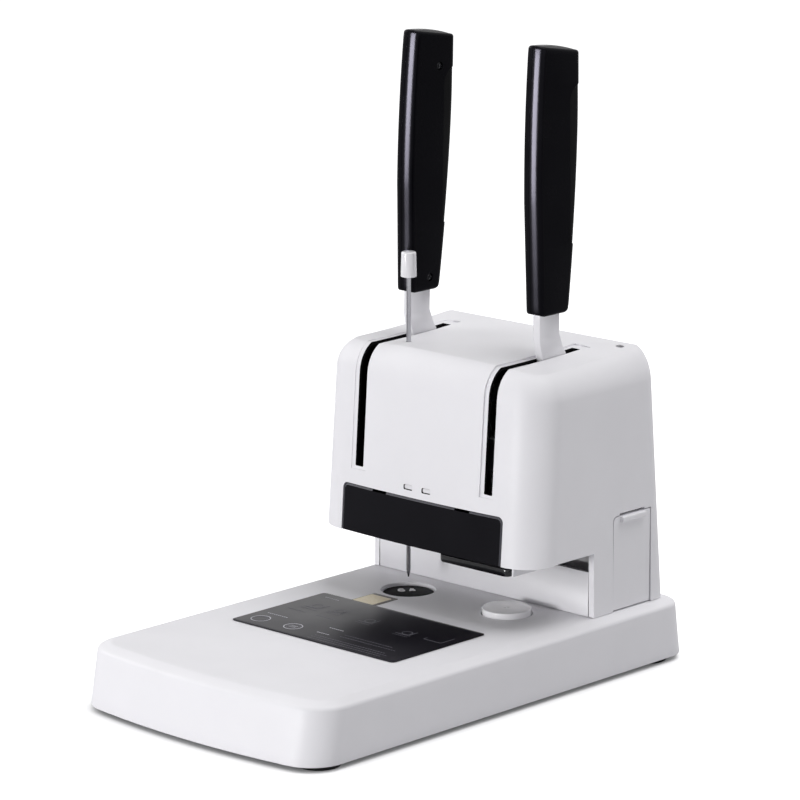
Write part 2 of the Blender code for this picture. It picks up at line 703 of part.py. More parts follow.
def make_pad(materials):
    """Makes the cutting pad and the cup that carries it under the deck."""
    pad_low = PAD_TOP_Z - PAD_THICKNESS
    floor = pad_low - FIT
    inner = PAD_RADIUS + FIT
    outer = inner + CUP_WALL
    rim = DECK_UNDER_Z - FIT
    foot = PLATE_TOP_Z + FIT
    profile = [
        (0.0, foot),
        (CUP_STEM_RADIUS, foot),
        (CUP_STEM_RADIUS, floor - CUP_WALL),
        (outer, floor - CUP_WALL),
        (outer, rim),
        (inner, rim),
        (inner, floor),
        (0.0, floor),
    ]
    centre = (DRILL_X, DRILL_Y)
    finish("pad_cup", turned(profile, ROUND_STEPS, "z", centre), materials["white plastic"])
    shape = turned(rod(PAD_RADIUS, pad_low, PAD_TOP_Z), ROUND_STEPS, "z", centre)
    finish("cutting_pad", shape, materials["black plastic"], (DRILL_X, DRILL_Y, pad_low))


def make_anvil(materials):
    """Makes the post under the press and the white cap that covers it."""
    foot = PLATE_TOP_Z + FIT
    cap_low = CAP_TOP_Z - CAP_HEIGHT
    post_top = cap_low + CAP_SOCKET_DEPTH - FIT
    centre = (RIVET_X, RIVET_Y)
    post = [
        (0.0, foot),
        (POST_FOOT_RADIUS, foot),
        (POST_FOOT_RADIUS, foot + POST_FOOT_HEIGHT),
        (POST_RADIUS, foot + POST_FOOT_HEIGHT),
        (POST_RADIUS, post_top),
        (0.0, post_top),
    ]
    finish("anvil_post", turned(post, SMALL_ROUND_STEPS, "z", centre), materials["dark steel"])
    socket = POST_RADIUS + FIT
    cap = [
        (0.0, cap_low + CAP_SOCKET_DEPTH),
        (socket, cap_low + CAP_SOCKET_DEPTH),
        (socket, cap_low),
        (CAP_RADIUS, cap_low),
        (CAP_RADIUS, CAP_TOP_Z - CAP_BEVEL),
        (CAP_RADIUS - CAP_BEVEL, CAP_TOP_Z),
        (0.0, CAP_TOP_Z),
    ]
    finish("anvil_cap", turned(cap, ROUND_STEPS, "z", centre), materials["white plastic"])


def half_at(z):
    """Gives half the housing's width at a height."""
    return SIDE_X - SIDE_DRAFT * (z - DECK_Z)


def rear_at(z):
    """Gives the y of the housing's rear face at a height."""
    return DECK_REAR_Y - HEAD_REAR_GAP - REAR_SLOPE * (z - DECK_Z)


def front_at(z):
    """Gives the y of the head's front face at a height, on the middle line."""
    return HEAD_FRONT_Y + FACE_SLOPE * (z - HEAD_LOW_Z)


def face_y(x, z):
    """Gives the y of the bowed front face at any point of it."""
    return front_at(z) + HEAD_SAG * (x / WINDOW_HALF) ** 2


def top_at(x, y):
    """Gives the height of the crowned top."""
    span = DECK_REAR_Y - TOP_RISE_START_Y
    along = max(0.0, y - TOP_RISE_START_Y) / span
    return HEAD_TOP_Z + TOP_RISE * along ** 2 + CROWN * (1.0 - (x / SLOT_X) ** 2)


def housing_outline(z, side, front, rear):
    """Gives the housing's outline at a height, moved inwards by an inset for each wall."""
    return plan(
        half_at(z) - side,
        front_at(z) + front,
        rear_at(z) - rear,
        HEAD_CORNER - (side + front) / 2,
        HEAD_REAR_CORNER - (side + rear) / 2,
        HEAD_SAG,
        WINDOW_HALF,
    )


def housing_skin(side, face, low):
    """Gives the rings of one skin of the housing, from its foot to the middle of its top."""
    roll_start = HEAD_TOP_Z - TOP_ROLL
    rings = [level(housing_outline(z, side, face, face), z) for z in (low, HEAD_LOW_Z, roll_start)]
    for i in range(1, ROLL_STEPS + 1):
        angle = math.radians(90 * i / ROLL_STEPS)
        inward = 1.0 - math.cos(angle)
        ring = []
        outline = housing_outline(
            roll_start,
            side + (TOP_ROLL - side) * inward,
            face + (TOP_ROLL - face) * inward,
            face + (REAR_ROLL - face) * inward,
        )
        for x, y in outline:
            top = top_at(x, y) - face
            ring.append((x, y, roll_start + (top - roll_start) * math.sin(angle)))
        rings.append(ring)
    last = rings[-1]
    middle_y = sum(y for _, y, _ in last) / len(last)
    for share in TOP_RING_SHARES:
        ring = []
        for x, y, _ in last:
            y_in = middle_y + (y - middle_y) * share
            ring.append((x * share, y_in, top_at(x * share, y_in) - face))
        rings.append(ring)
    return rings


def window_outline(gap):
    """Gives the window's outline on the front face, wider by a gap all round."""
    half = WINDOW_HALF + gap
    top = WINDOW_TOP_Z + gap
    low = HEAD_LOW_Z - OVERRUN
    points = [(-half, low), (half, low)]
    points += arc((half - WINDOW_CORNER, top - WINDOW_CORNER), WINDOW_CORNER, 0, 90, FILLET_STEPS)
    points += arc((WINDOW_CORNER - half, top - WINDOW_CORNER), WINDOW_CORNER, 90, 180, FILLET_STEPS)
    return points


def drawer_outline(gap):
    """Gives the drawer's front seen from the side, wider by a gap at its sides and top."""
    front, rear = DRAWER_FRONT_Y - gap, DRAWER_REAR_Y + gap
    top = DRAWER_TOP_Z + gap
    points = [(front, DECK_Z - gap), (rear, DECK_Z - gap), (rear, top)]
    points += arc((front + DRAWER_CORNER, top - DRAWER_CORNER), DRAWER_CORNER, 90, 180, FILLET_STEPS)
    return points


def make_housing(surface):
    """Makes the moulded shell of column and head, with its throat, slots and openings."""
    foot = DECK_Z + FIT
    inner = housing_skin(SIDE_WALL, FACE_WALL, foot)
    outer = housing_skin(0.0, 0.0, foot)
    shape = bmesh.new()
    add_loft(shape, inner[::-1] + outer)
    housing = finish("housing_shell", shape, surface)
    far = BASE_LENGTH
    cuts = bmesh.new()
    throat = [
        (-far, 0.0),
        (COLUMN_FRONT_Y, 0.0),
        (COLUMN_FRONT_Y, HEAD_SIDE_LOW_Z),
        (HEAD_FRONT_Y + HEAD_EDGE_RISE_DEPTH, HEAD_SIDE_LOW_Z),
        (HEAD_FRONT_Y + HEAD_CORNER / 2, HEAD_LOW_Z),
        (-far, HEAD_LOW_Z),
    ]
    add_prism(cuts, [throat], -far, far, "x")
    for side in (-1, 1):
        left = side * SLOT_X - SLOT_WIDTH / 2
        slot = box((left, SLOT_FOOT_Z), (left + SLOT_WIDTH, HEAD_TOP_Z + OVERRUN))
        add_prism(cuts, [slot], 0.0, SLOT_REAR_Y, "y")
    add_prism(cuts, [drawer_outline(DRAWER_GAP)], half_at(DRAWER_TOP_Z) - OVERRUN, far, "x")
    hole = rod(NEEDLE_RADIUS + FIT, HEAD_TOP_Z - OVERRUN, HEAD_TOP_Z + OVERRUN)
    add_turned(cuts, hole, SMALL_ROUND_STEPS, "z", (DRILL_X, DRILL_Y))
    screw = rod(TOP_SCREW_RADIUS, HEAD_TOP_Z - OVERRUN, HEAD_TOP_Z + OVERRUN)
    add_turned(cuts, screw, SMALL_ROUND_STEPS, "z", (TOP_SCREW_X, TOP_SCREW_Y))
    rear = rear_at(INLET_Z)
    for x, width, height in fittings():
        opening = box(
            (x - width / 2 - FIT, INLET_Z - height / 2 - FIT),
            (x + width / 2 + FIT, INLET_Z + height / 2 + FIT),
        )
        add_prism(cuts, [opening], rear - OVERRUN, rear + OVERRUN, "y")
    combine(housing, helper("throat_and_slots", cuts), "DIFFERENCE")
    make_front_cuts(housing)
    return housing


def fittings():
    """Lists the place and the size of the openings in the rear wall."""
    return ((INLET_X, INLET_WIDTH, INLET_HEIGHT), (SWITCH_X, SWITCH_WIDTH, SWITCH_HEIGHT))


def make_front_cuts(housing):
    """Cuts the window, the two lens holes and the finger scoop over the drawer."""
    cuts = bmesh.new()
    near, behind = HEAD_FRONT_Y - OVERRUN, HEAD_FRONT_Y + OVERRUN
    add_prism(cuts, [window_outline(FIT)], near, behind, "y")
    for x in (LEFT_LENS_X, RIGHT_LENS_X):
        add_prism(cuts, [lens_outline(x, FIT)], near, behind, "y")
    low, high = DRAWER_TOP_Z - SCOOP_HEIGHT, DRAWER_TOP_Z + SCOOP_HEIGHT
    deep = half_at(DRAWER_TOP_Z) - SCOOP_DEPTH
    shallow = half_at(DRAWER_TOP_Z) + OVERRUN
    section = [(deep, low), (shallow, low), (shallow, high + SCOOP_HEIGHT), (deep, DRAWER_TOP_Z + RUN)]
    add_prism(cuts, [section], DRAWER_FRONT_Y + PULL_SIDE, DRAWER_REAR_Y - PULL_SIDE, "y")
    combine(housing, helper("front_cuts", cuts), "DIFFERENCE")


def lens_outline(x, gap):
    """Gives the outline of an indicator lens, wider by a gap."""
    low = (x - LENS_WIDTH / 2 - gap, LENS_Z - LENS_HEIGHT / 2 - gap)
    high = (x + LENS_WIDTH / 2 + gap, LENS_Z + LENS_HEIGHT / 2 + gap)
    return rounded_box(low, high, LENS_HEIGHT / 3, 2)


def face_sheet(half, low, high, depth, proud):
    """Makes a sheet that follows the front face, as deep as its wall."""
    rings = []
    for i in range(BOW_STEPS * 2 + 1):
        x = -half + 2 * half * i / (BOW_STEPS * 2)
        ring = [
            (x, face_y(x, low) - proud, low),
            (x, face_y(x, high) - proud, high),
            (x, face_y(x, high) - proud + depth, high),
            (x, face_y(x, low) - proud + depth, low),
        ]
        rings.append(ring)
    shape = bmesh.new()
    add_loft(shape, rings)
    return shape


def make_window(surface):
    """Makes the smoked guard that closes the front of the head."""
    half = WINDOW_HALF + OVERRUN / 4
    top = WINDOW_TOP_Z + OVERRUN / 2
    shape = face_sheet(half, HEAD_LOW_Z + FIT, top, WINDOW_WALL, 0.0)
    window = finish("window_guard", shape, surface)
    near, behind = HEAD_FRONT_Y - OVERRUN, HEAD_FRONT_Y + OVERRUN
    outline = prism([window_outline(0.0)], near, behind, "y")
    combine(window, helper("window_outline", outline), "INTERSECT")


def make_lenses(surface):
    """Makes the two indicator lenses over the window."""
    for name, x in (("indicator_lens_left", LEFT_LENS_X), ("indicator_lens_right", RIGHT_LENS_X)):
        y = face_y(x, LENS_Z)
        shape = prism([lens_outline(x, 0.0)], y, y + FACE_WALL, "y")
        finish(name, shape, surface)


def make_column_panel(surface):
    """Makes the flat panel in the throat of the machine, between the column's walls."""
    half = half_at(COLUMN_PANEL_TOP_Z) - SIDE_WALL - FIT
    outline = box((-half, COLUMN_FRONT_Y), (half, COLUMN_FRONT_Y + COLUMN_PANEL_WALL))
    shape = prism([outline], DECK_Z + FIT, COLUMN_PANEL_TOP_Z, "z")
    finish("column_front_panel", shape, surface)


def make_drawer(surface):
    """Makes the side drawer: a bin behind a front that fills its opening, with a pull."""
    face_x = half_at(DRAWER_TOP_Z)
    inner_x = face_x - SIDE_WALL
    back_x = face_x - DRAWER_DEPTH
    low = DECK_Z + FIT
    front = [(y, max(z, low)) for y, z in drawer_outline(0.0)]
    shape = prism([front], inner_x, face_x, "x")
    drawer = finish("side_drawer", shape, surface, (face_x, (DRAWER_FRONT_Y + DRAWER_REAR_Y) / 2, low))
    body_low = (DRAWER_FRONT_Y + DRAWER_GAP, low)
    body_high = (DRAWER_REAR_Y - DRAWER_GAP, DRAWER_TOP_Z - DRAWER_CORNER)
    bin_shape = prism([box(body_low, body_high)], back_x, inner_x + WELD, "x")
    combine(drawer, helper("drawer_bin", bin_shape), "UNION")
    pull = bmesh.new()
    pull_low = (DRAWER_FRONT_Y + PULL_SIDE + RUN, DRAWER_TOP_Z - PULL_HEIGHT)
    pull_high = (DRAWER_REAR_Y - PULL_SIDE - RUN, DRAWER_TOP_Z - RUN)
    add_prism(pull, [box(pull_low, pull_high)], face_x - WELD, face_x + PULL_REACH, "x")
    combine(drawer, helper("drawer_pull", pull), "UNION")
    hollow_low = (DRAWER_FRONT_Y + DRAWER_GAP + DRAWER_WALL, low + DRAWER_WALL)
    hollow_high = (DRAWER_REAR_Y - DRAWER_GAP - DRAWER_WALL, DRAWER_TOP_Z + OVERRUN)
    hollow = prism([box(hollow_low, hollow_high)], back_x + DRAWER_WALL, inner_x - DRAWER_WALL, "x")
    combine(drawer, helper("drawer_hollow", hollow), "DIFFERENCE")


def gear_outline(teeth, first, last, hub):
    """Gives a sector gear about the pivot: involute teeth between two angles, then its web.

    Angles count up from the direction of the rack, which lies towards -Y.
    """
    pitch = GEAR_MODULE * teeth / 2
    tip = pitch + ADDENDUM
    root = pitch - DEDENDUM
    base = pitch * math.cos(PRESSURE_ANGLE)
    lean = math.tan(PRESSURE_ANGLE) - PRESSURE_ANGLE
    half_pitch = (math.pi * GEAR_MODULE / 2 - BACKLASH) / 2 / pitch

    def flank(radius):
        if radius <= base:
            return half_pitch + lean
        angle = math.acos(base / radius)
        return half_pitch + lean - (math.tan(angle) - angle)

    radii = (root, (root + pitch) / 2, pitch, (pitch + tip) / 2, tip)
    points = []
    for tooth in range(first, last + 1):
        middle = tooth * 2 * math.pi / teeth
        for radius in radii:
            points.append(rack_side(radius, middle - flank(radius)))
        for radius in radii[::-1]:
            points.append(rack_side(radius, middle + flank(radius)))
    start = last * 2 * math.pi / teeth
    end = first * 2 * math.pi / teeth + 2 * math.pi
    web = ROUND_STEPS // 3
    for i in range(1, web):
        points.append(rack_side(hub, start + (end - start) * i / web))
    return points


def rack_side(radius, angle):
    """Gives a point round the pivot, in (y, z), from its angle above the rack's direction."""
    return (PIVOT_Y - radius * math.cos(angle), PIVOT_Z + radius * math.sin(angle))


def rack_profile(pitch_y, low, high):
    """Gives the toothed edge of a rack in (y, z) between two heights, from the bottom up."""
    pitch = math.pi * GEAR_MODULE
    slope = math.tan(PRESSURE_ANGLE)
    half = pitch / 4 - BACKLASH / 4
    tip = pitch_y + ADDENDUM
    root = pitch_y - DEDENDUM
    points = []
    first = math.ceil((low - PIVOT_Z) / pitch - 0.5)
    last = math.floor((high - PIVOT_Z) / pitch - 0.5)
    for tooth in range(first, last + 1):
        middle = PIVOT_Z + (tooth + 0.5) * pitch
        points.append((root, middle - half - DEDENDUM * slope))
        points.append((tip, middle - half + ADDENDUM * slope))
        points.append((tip, middle + half - ADDENDUM * slope))
        points.append((root, middle + half + DEDENDUM * slope))
    return points


def make_gear(name, teeth, middle_x, width, lever_side, surface):
    """Makes a sector gear with the hub that carries it beside its lever bar."""
    step = 2 * math.pi / teeth
    first = -1
    last = math.ceil(LEVER_TRAVEL / step) + 1
    outline = gear_outline(teeth, first, last, HUB_RADIUS + HUB_WALL)
    bore = circle((PIVOT_Y, PIVOT_Z), SHAFT_RADIUS + FIT)
    low, high = middle_x - width / 2, middle_x + width / 2
    shape = prism([outline, bore], low, high, "x")
    gear = finish(name, shape, surface, (middle_x, PIVOT_Y, PIVOT_Z))
    bar_face = lever_side * (SLOT_X - LEVER_THICKNESS / 2 - FIT)
    ends = sorted((bar_face, middle_x + lever_side * (width / 2 - WELD)))
    sleeve = tube(HUB_RADIUS, SHAFT_RADIUS + FIT, ends[0], ends[1])
    hub = turned(sleeve, SMALL_ROUND_STEPS, "x", (PIVOT_Y, PIVOT_Z))
    combine(gear, helper(name + "_hub", hub), "UNION")


def lever_outline():
    """Gives the lever bar's outline in (y, z): a straight tang that bends back to its hub."""
    front = LEVER_Y - LEVER_DEPTH / 2
    rear = LEVER_Y + LEVER_DEPTH / 2
    bend = HEAD_TOP_Z + LEVER_BEND_RISE
    points = [(rear, bend), (rear, TANG_TOP_Z), (front, TANG_TOP_Z), (front, bend)]
    for down, back in LEVER_SWEEP_SHARES:
        points.append((front + LEVER_SWEEP * back, bend - LEVER_BEND_HEIGHT * down))
    points += arc((PIVOT_Y, PIVOT_Z), LEVER_HUB_RADIUS, LEVER_HUB_START, LEVER_HUB_END, LEVER_HUB_STEPS)
    for down, back in LEVER_FLARE_SHARES[::-1]:
        points.append((rear + LEVER_FLARE * back, bend - LEVER_BEND_HEIGHT * down))
    return points


def toe_in(shape, side, least=0.0):
    """Leans a bmesh towards the middle of the machine, from the lever's bend upwards."""
    for vert in shape.verts:
        if vert.co.z >= least:
            rise = vert.co.z - HEAD_TOP_Z - LEVER_BEND_RISE
            vert.co.x -= side * rise * math.tan(LEVER_TOE_IN)
    return shape


def make_lever(name, side, surface):
    """Makes one lever bar, cut from plate, with the bore for its shaft."""
    low = side * SLOT_X - LEVER_THICKNESS / 2
    bore = circle((PIVOT_Y, PIVOT_Z), SHAFT_RADIUS + FIT)
    shape = prism([lever_outline(), bore], low, low + LEVER_THICKNESS, "x")
    toe_in(shape, side, HEAD_TOP_Z + LEVER_BEND_RISE)
    finish(name, shape, surface, (side * SLOT_X, PIVOT_Y, PIVOT_Z))


def grip_front(share):
    """Gives the y of the grip's front edge at a share of its height."""
    if share <= GRIP_BELLY_SHARE:
        reach = GRIP_LOW_FRONT + (GRIP_MID_FRONT - GRIP_LOW_FRONT) * share / GRIP_BELLY_SHARE
    else:
        rise = (share - GRIP_BELLY_SHARE) / (1.0 - GRIP_BELLY_SHARE)
        reach = GRIP_MID_FRONT + (GRIP_TOP_FRONT - GRIP_MID_FRONT) * rise ** 2
    return LEVER_Y - reach


def grip_rear(share):
    """Gives the y of the grip's rear edge at a share of its height."""
    eased = 1.0 - (1.0 - min(1.0, share / GRIP_EASE_SHARE)) ** GRIP_EASE_POWER
    return LEVER_Y + GRIP_LOW_REAR + (GRIP_TOP_REAR - GRIP_LOW_REAR) * eased


def grip_rings(side, shrink):
    """Gives the rings of a grip, or of a copy of it that is smaller all round."""
    centre_x = side * SLOT_X
    half = GRIP_THICKNESS / 2 - shrink
    rings = []
    shares = [0.0] + [i / GRIP_LEVELS for i in range(GRIP_LEVELS + 1)] + [1.0]
    for i, share in enumerate(shares):
        edge = GRIP_EDGE if i in (0, len(shares) - 1) else 0.0
        lift = GRIP_EDGE if i == 1 else -GRIP_EDGE if i == len(shares) - 2 else 0.0
        front = grip_front(share) + shrink + edge
        rear = grip_rear(share) - shrink - edge
        corner = GRIP_CORNER - shrink - edge / 2
        outline = rounded_box((centre_x - half + edge, front), (centre_x + half - edge, rear), corner)
        middle = (front + rear) / 2
        reach = (rear - front) / 2
        ring = []
        for x, y in outline:
            across = (y - middle) / reach
            low = GRIP_LOW_Z - GRIP_LOW_BULGE * (1.0 - across ** 2) + shrink
            high = GRIP_TOP_Z - GRIP_TOP_SLOPE * (1.0 + across) / 2 - shrink
            ring.append((x, y, low + (high - low) * share + lift))
        rings.append(ring)
    return rings


def inlay_outline(gap):
    """Gives the inlay's outline on the side of a grip, smaller by a gap."""
    front = LEVER_Y + INLAY_FRONT + gap
    low, high = INLAY_LOW_Z + gap, INLAY_TOP_Z - gap
    corner = INLAY_CORNER
    far = LEVER_Y + GRIP_TOP_REAR + OVERRUN
    points = [(far, low), (far, high)]
    points += arc((front + corner, high - corner), corner, 90, 180, FILLET_STEPS)
    points += arc((front + corner / 3, low + corner / 3), corner / 3, 180, 270, FILLET_STEPS)
    return points


def grip_body(side, shrink):
    """Makes the skin of a grip as a bmesh."""
    shape = bmesh.new()
    add_loft(shape, grip_rings(side, shrink))
    return toe_in(shape, side)


def side_prism(side, outline, low, high):
    """Makes a prism across a grip, leaning as the grip does."""
    return toe_in(prism([outline], low, high, "x"), side)


def make_grip(name, side, materials):
    """Makes a lever's grip: two screwed halves and the soft inlay at their back."""
    origin = (side * SLOT_X, PIVOT_Y, PIVOT_Z)
    tall = GRIP_TOP_Z + OVERRUN
    low = GRIP_LOW_Z - OVERRUN
    wide = GRIP_THICKNESS + OVERRUN
    pocket_low = LEVER_Y - LEVER_DEPTH / 2 - FIT
    pocket_high = LEVER_Y + LEVER_DEPTH / 2 + FIT
    middle = side * SLOT_X
    reach = LEVER_THICKNESS / 2 + FIT
    tang = box((pocket_low, low), (pocket_high, TANG_TOP_Z + FIT))
    pocket = helper(name + "_pocket", side_prism(side, tang, middle - reach, middle + reach))
    cut = side_prism(side, inlay_outline(0.0), middle - wide, middle + wide)
    seat = helper(name + "_inlay_seat", cut)
    wells = grip_screw_wells(name, side)
    for half, direction in (("inner", -side), ("outer", side)):
        item = finish(name + "_" + half, grip_body(side, 0.0), materials["black plastic"], origin)
        edge = side * SLOT_X + direction * FIT / 2
        ends = sorted((edge, edge + direction * wide))
        keep = side_prism(side, box((0.0, low), (DECK_REAR_Y, tall)), ends[0], ends[1])
        combine(item, helper(name + "_" + half + "_side", keep), "INTERSECT")
        combine(item, pocket, "DIFFERENCE")
        combine(item, seat, "DIFFERENCE")
        if half == "inner":
            combine(item, wells, "DIFFERENCE")
    inlay = finish(name + "_inlay", grip_body(side, INLAY_DROP), materials["soft black"], origin)
    shape = side_prism(side, inlay_outline(FIT), middle - wide, middle + wide)
    combine(inlay, helper(name + "_inlay_outline", shape), "INTERSECT")
    make_grip_screws(name, side, materials["dark steel"], origin)


def grip_screw_places():
    """Lists the grip's screws by name, with their place on its side."""
    return (
        ("screw_low", (LEVER_Y + LOW_SCREW_OFFSET, GRIP_LOW_Z + LOW_SCREW_RISE)),
        ("screw_top", (LEVER_Y + TOP_SCREW_OFFSET, GRIP_TOP_Z - TOP_SCREW_DROP)),
    )


def grip_screw_wells(name, side):
    """Makes the cutter for the wells of the screws, in the half that faces the middle."""
    face = side * (SLOT_X - GRIP_THICKNESS / 2)
    shape = bmesh.new()
    ends = sorted((face - side * OVERRUN, face + side * GRIP_SCREW_DEPTH))
    for _, centre in grip_screw_places():
        profile = rod(GRIP_SCREW_RADIUS + FIT, ends[0], ends[1])
        add_turned(shape, profile, SMALL_ROUND_STEPS // 2, "x", centre)
    return helper(name + "_screw_wells", toe_in(shape, side))


def make_grip_screws(name, side, surface, origin):
    """Makes the screw heads in their wells."""
    seat = side * (SLOT_X - GRIP_THICKNESS / 2 + GRIP_SCREW_DEPTH - FIT)
    ends = sorted((seat, seat - side * GRIP_SCREW_HEAD))
    for label, centre in grip_screw_places():
        shape = turned(rod(GRIP_SCREW_RADIUS, ends[0], ends[1]), SMALL_ROUND_STEPS // 2, "x", centre)
        finish(name + "_" + label, toe_in(shape, side), surface, origin)


def make_shafts(surface):
    """Makes the two fixed shafts that the levers turn on."""
    spans = (
        ("punch_pivot_shaft", -CHASSIS_OUTER_X, PUNCH_INNER_X),
        ("rivet_pivot_shaft", RIVET_INNER_X - CHASSIS_PLATE, CHASSIS_OUTER_X),
    )
    for name, low, high in spans:
        profile = rod(SHAFT_RADIUS, low - WELD, high + WELD)
        shape = turned(profile, SMALL_ROUND_STEPS, "x", (PIVOT_Y, PIVOT_Z))
        finish(name, shape, surface)


def make_chassis(surface):
    """Makes the welded frame: a back plate with four arms that carry the shafts."""
    back = CHASSIS_REAR_Y - CHASSIS_PLATE
    outer = CHASSIS_OUTER_X + WELD / 2
    right = LOWER_FRAME_RIGHT_X
    step = DRAWER_TOP_Z + DRAWER_GAP + FIT + WELD
    plate_top = CHASSIS_TOP_Z - WELD
    foot = PLATE_TOP_Z + FIT
    plate = [(-outer, foot), (right, foot), (right, step)]
    plate += [(outer, step), (outer, plate_top), (-outer, plate_top)]
    chassis = finish("chassis_frame", prism([plate], back, CHASSIS_REAR_Y, "y"), surface)
    floor = FLOOR_TOP_Z + FIT
    arms = bmesh.new()
    lefts = (
        (-CHASSIS_OUTER_X, floor),
        (PUNCH_INNER_X - CHASSIS_PLATE, floor),
        (RIVET_INNER_X - CHASSIS_PLATE, floor),
        (CHASSIS_OUTER_X - CHASSIS_PLATE, step + WELD),
    )
    for left, low in lefts:
        side = box((CHASSIS_ARM_FRONT_Y, low), (back + WELD, CHASSIS_TOP_Z))
        add_prism(arms, [side], left, left + CHASSIS_PLATE, "x")
    combine(chassis, helper("frame_arms", arms), "UNION")
    bore = rod(SHAFT_RADIUS + FIT, -CHASSIS_OUTER_X - OVERRUN, CHASSIS_OUTER_X + OVERRUN)
    shape = turned(bore, SMALL_ROUND_STEPS, "x", (PIVOT_Y, PIVOT_Z))
    combine(chassis, helper("shaft_bores", shape), "DIFFERENCE")


def make_tie_plate(surface):
    """Makes the plate over the arms, slotted for the levers."""
    low = CHASSIS_TOP_Z + FIT
    slot = SLOT_WIDTH / 2 + RUN
    front, rear = CHASSIS_ARM_FRONT_Y, CHASSIS_REAR_Y
    outer = CHASSIS_OUTER_X
    outline = [
        (-outer, rear), (-outer, front), (-SLOT_X - slot, front), (-SLOT_X - slot, TIE_SLOT_REAR_Y),
        (-SLOT_X + slot, TIE_SLOT_REAR_Y), (-SLOT_X + slot, front),
        (SLOT_X - slot, front), (SLOT_X - slot, TIE_SLOT_REAR_Y),
        (SLOT_X + slot, TIE_SLOT_REAR_Y), (SLOT_X + slot, front), (outer, front), (outer, rear),
    ]
    finish("frame_tie_plate", prism([outline], low, low + TIE_THICKNESS, "z"), surface)


def press_hole():
    """Gives the hole that the heater and the ram pass through."""
    side = PRESS_HOLE_SIDE
    return box((RIVET_X - side, RIVET_Y - side), (RIVET_X + side, PRESS_HOLE_REAR_Y))


def make_floor(surface):
    """Makes the floor of the head, with the holes that the drill and the press pass."""
    half = half_at(FLOOR_TOP_Z) - SIDE_WALL - RUN
    front = front_at(FLOOR_TOP_Z) + FACE_WALL + FLOOR_FRONT_GAP
    corner = HEAD_CORNER - SIDE_WALL
    outline = [(half, FLOOR_REAR_Y), (-half, FLOOR_REAR_Y)]
    outline += arc((corner - half, front + corner), corner, 180, 270, CORNER_STEPS)
    outline += arc((half - corner, front + corner), corner, 270, 360, CORNER_STEPS)
    drill = circle((DRILL_X, DRILL_Y), QUILL_RADIUS + DRILL_HOLE_CLEARANCE)
    press = press_hole()
    finish("head_floor", prism([outline, drill, press], FLOOR_LOW_Z, FLOOR_TOP_Z, "z"), surface)


def make_quill(surface):
    """Makes the quill: a sleeve with rack teeth cut across its rear."""
    bore = SPINDLE_RADIUS + FIT
    low, high = QUILL_LOW_Z, QUILL_TOP_Z
    centre = (DRILL_X, DRILL_Y)
    origin = (DRILL_X, DRILL_Y, low)
    shape = turned(tube(QUILL_RADIUS, bore, low, high), ROUND_STEPS, "z", centre)
    quill = finish("drill_quill", shape, surface, origin)
    pitch_y = DRILL_Y + QUILL_RACK_OFFSET
    rack_high = PIVOT_Z + PUNCH_STROKE + 2 * GEAR_MODULE * math.pi
    edge = rack_profile(pitch_y, low, rack_high)
    far = DRILL_Y + QUILL_RADIUS + OVERRUN
    outline = [(far, low - OVERRUN), (far, edge[-1][1] + WELD), (edge[-1][0], edge[-1][1] + WELD)]
    outline += edge[::-1]
    outline += [(edge[0][0], low - OVERRUN)]
    cutter = prism([outline], DRILL_X - OVERRUN, DRILL_X + OVERRUN, "x")
    combine(quill, helper("quill_rack_cutter", cutter), "DIFFERENCE")


def make_spindle(materials):
    """Makes what turns in the quill: hollow spindle, chuck nut, hollow bit and pulley."""
    centre = (DRILL_X, DRILL_Y)
    origin = (DRILL_X, DRILL_Y, QUILL_LOW_Z)
    joint = CHUCK_LOW_Z + CHUCK_ENGAGEMENT
    top = PULLEY_LOW_Z + PULLEY_HEIGHT
    shape = turned(tube(SPINDLE_RADIUS, SPINDLE_BORE, joint + FIT, top), SMALL_ROUND_STEPS, "z", centre)
    finish("drill_spindle", shape, materials["steel"], origin)
    bore = SPINDLE_RADIUS + FIT
    chuck = [
        (bore, CHUCK_LOW_Z),
        (CHUCK_NOSE_RADIUS, CHUCK_LOW_Z),
        (CHUCK_RADIUS, CHUCK_LOW_Z + CHUCK_BEVEL),
        (CHUCK_RADIUS, CHUCK_TOP_Z),
        (bore, CHUCK_TOP_Z),
    ]
    finish("chuck_nut", turned(chuck, SMALL_ROUND_STEPS, "z", centre), materials["dark steel"], origin)
    bit = [
        (BIT_BORE, BIT_LOW_Z),
        (BIT_RADIUS, BIT_LOW_Z + BIT_EDGE),
        (BIT_RADIUS, joint),
        (BIT_BORE, joint),
    ]
    finish("hollow_drill_bit", turned(bit, SMALL_ROUND_STEPS, "z", centre), materials["steel"], origin)
    profile = pulley(PULLEY_RADIUS, bore)
    finish("spindle_pulley", turned(profile, ROUND_STEPS, "z", centre), materials["aluminium"], origin)


def pulley(radius, bore):
    """Gives the profile of a flanged belt pulley."""
    low, high = PULLEY_LOW_Z, PULLEY_LOW_Z + PULLEY_HEIGHT
    groove = radius - BELT_THICKNESS
    return [
        (bore, low),
        (radius, low),
        (radius, low + PULLEY_FLANGE),
        (groove, low + PULLEY_FLANGE),
        (groove, high - PULLEY_FLANGE),
        (radius, high - PULLEY_FLANGE),
        (radius, high),
        (bore, high),
    ]


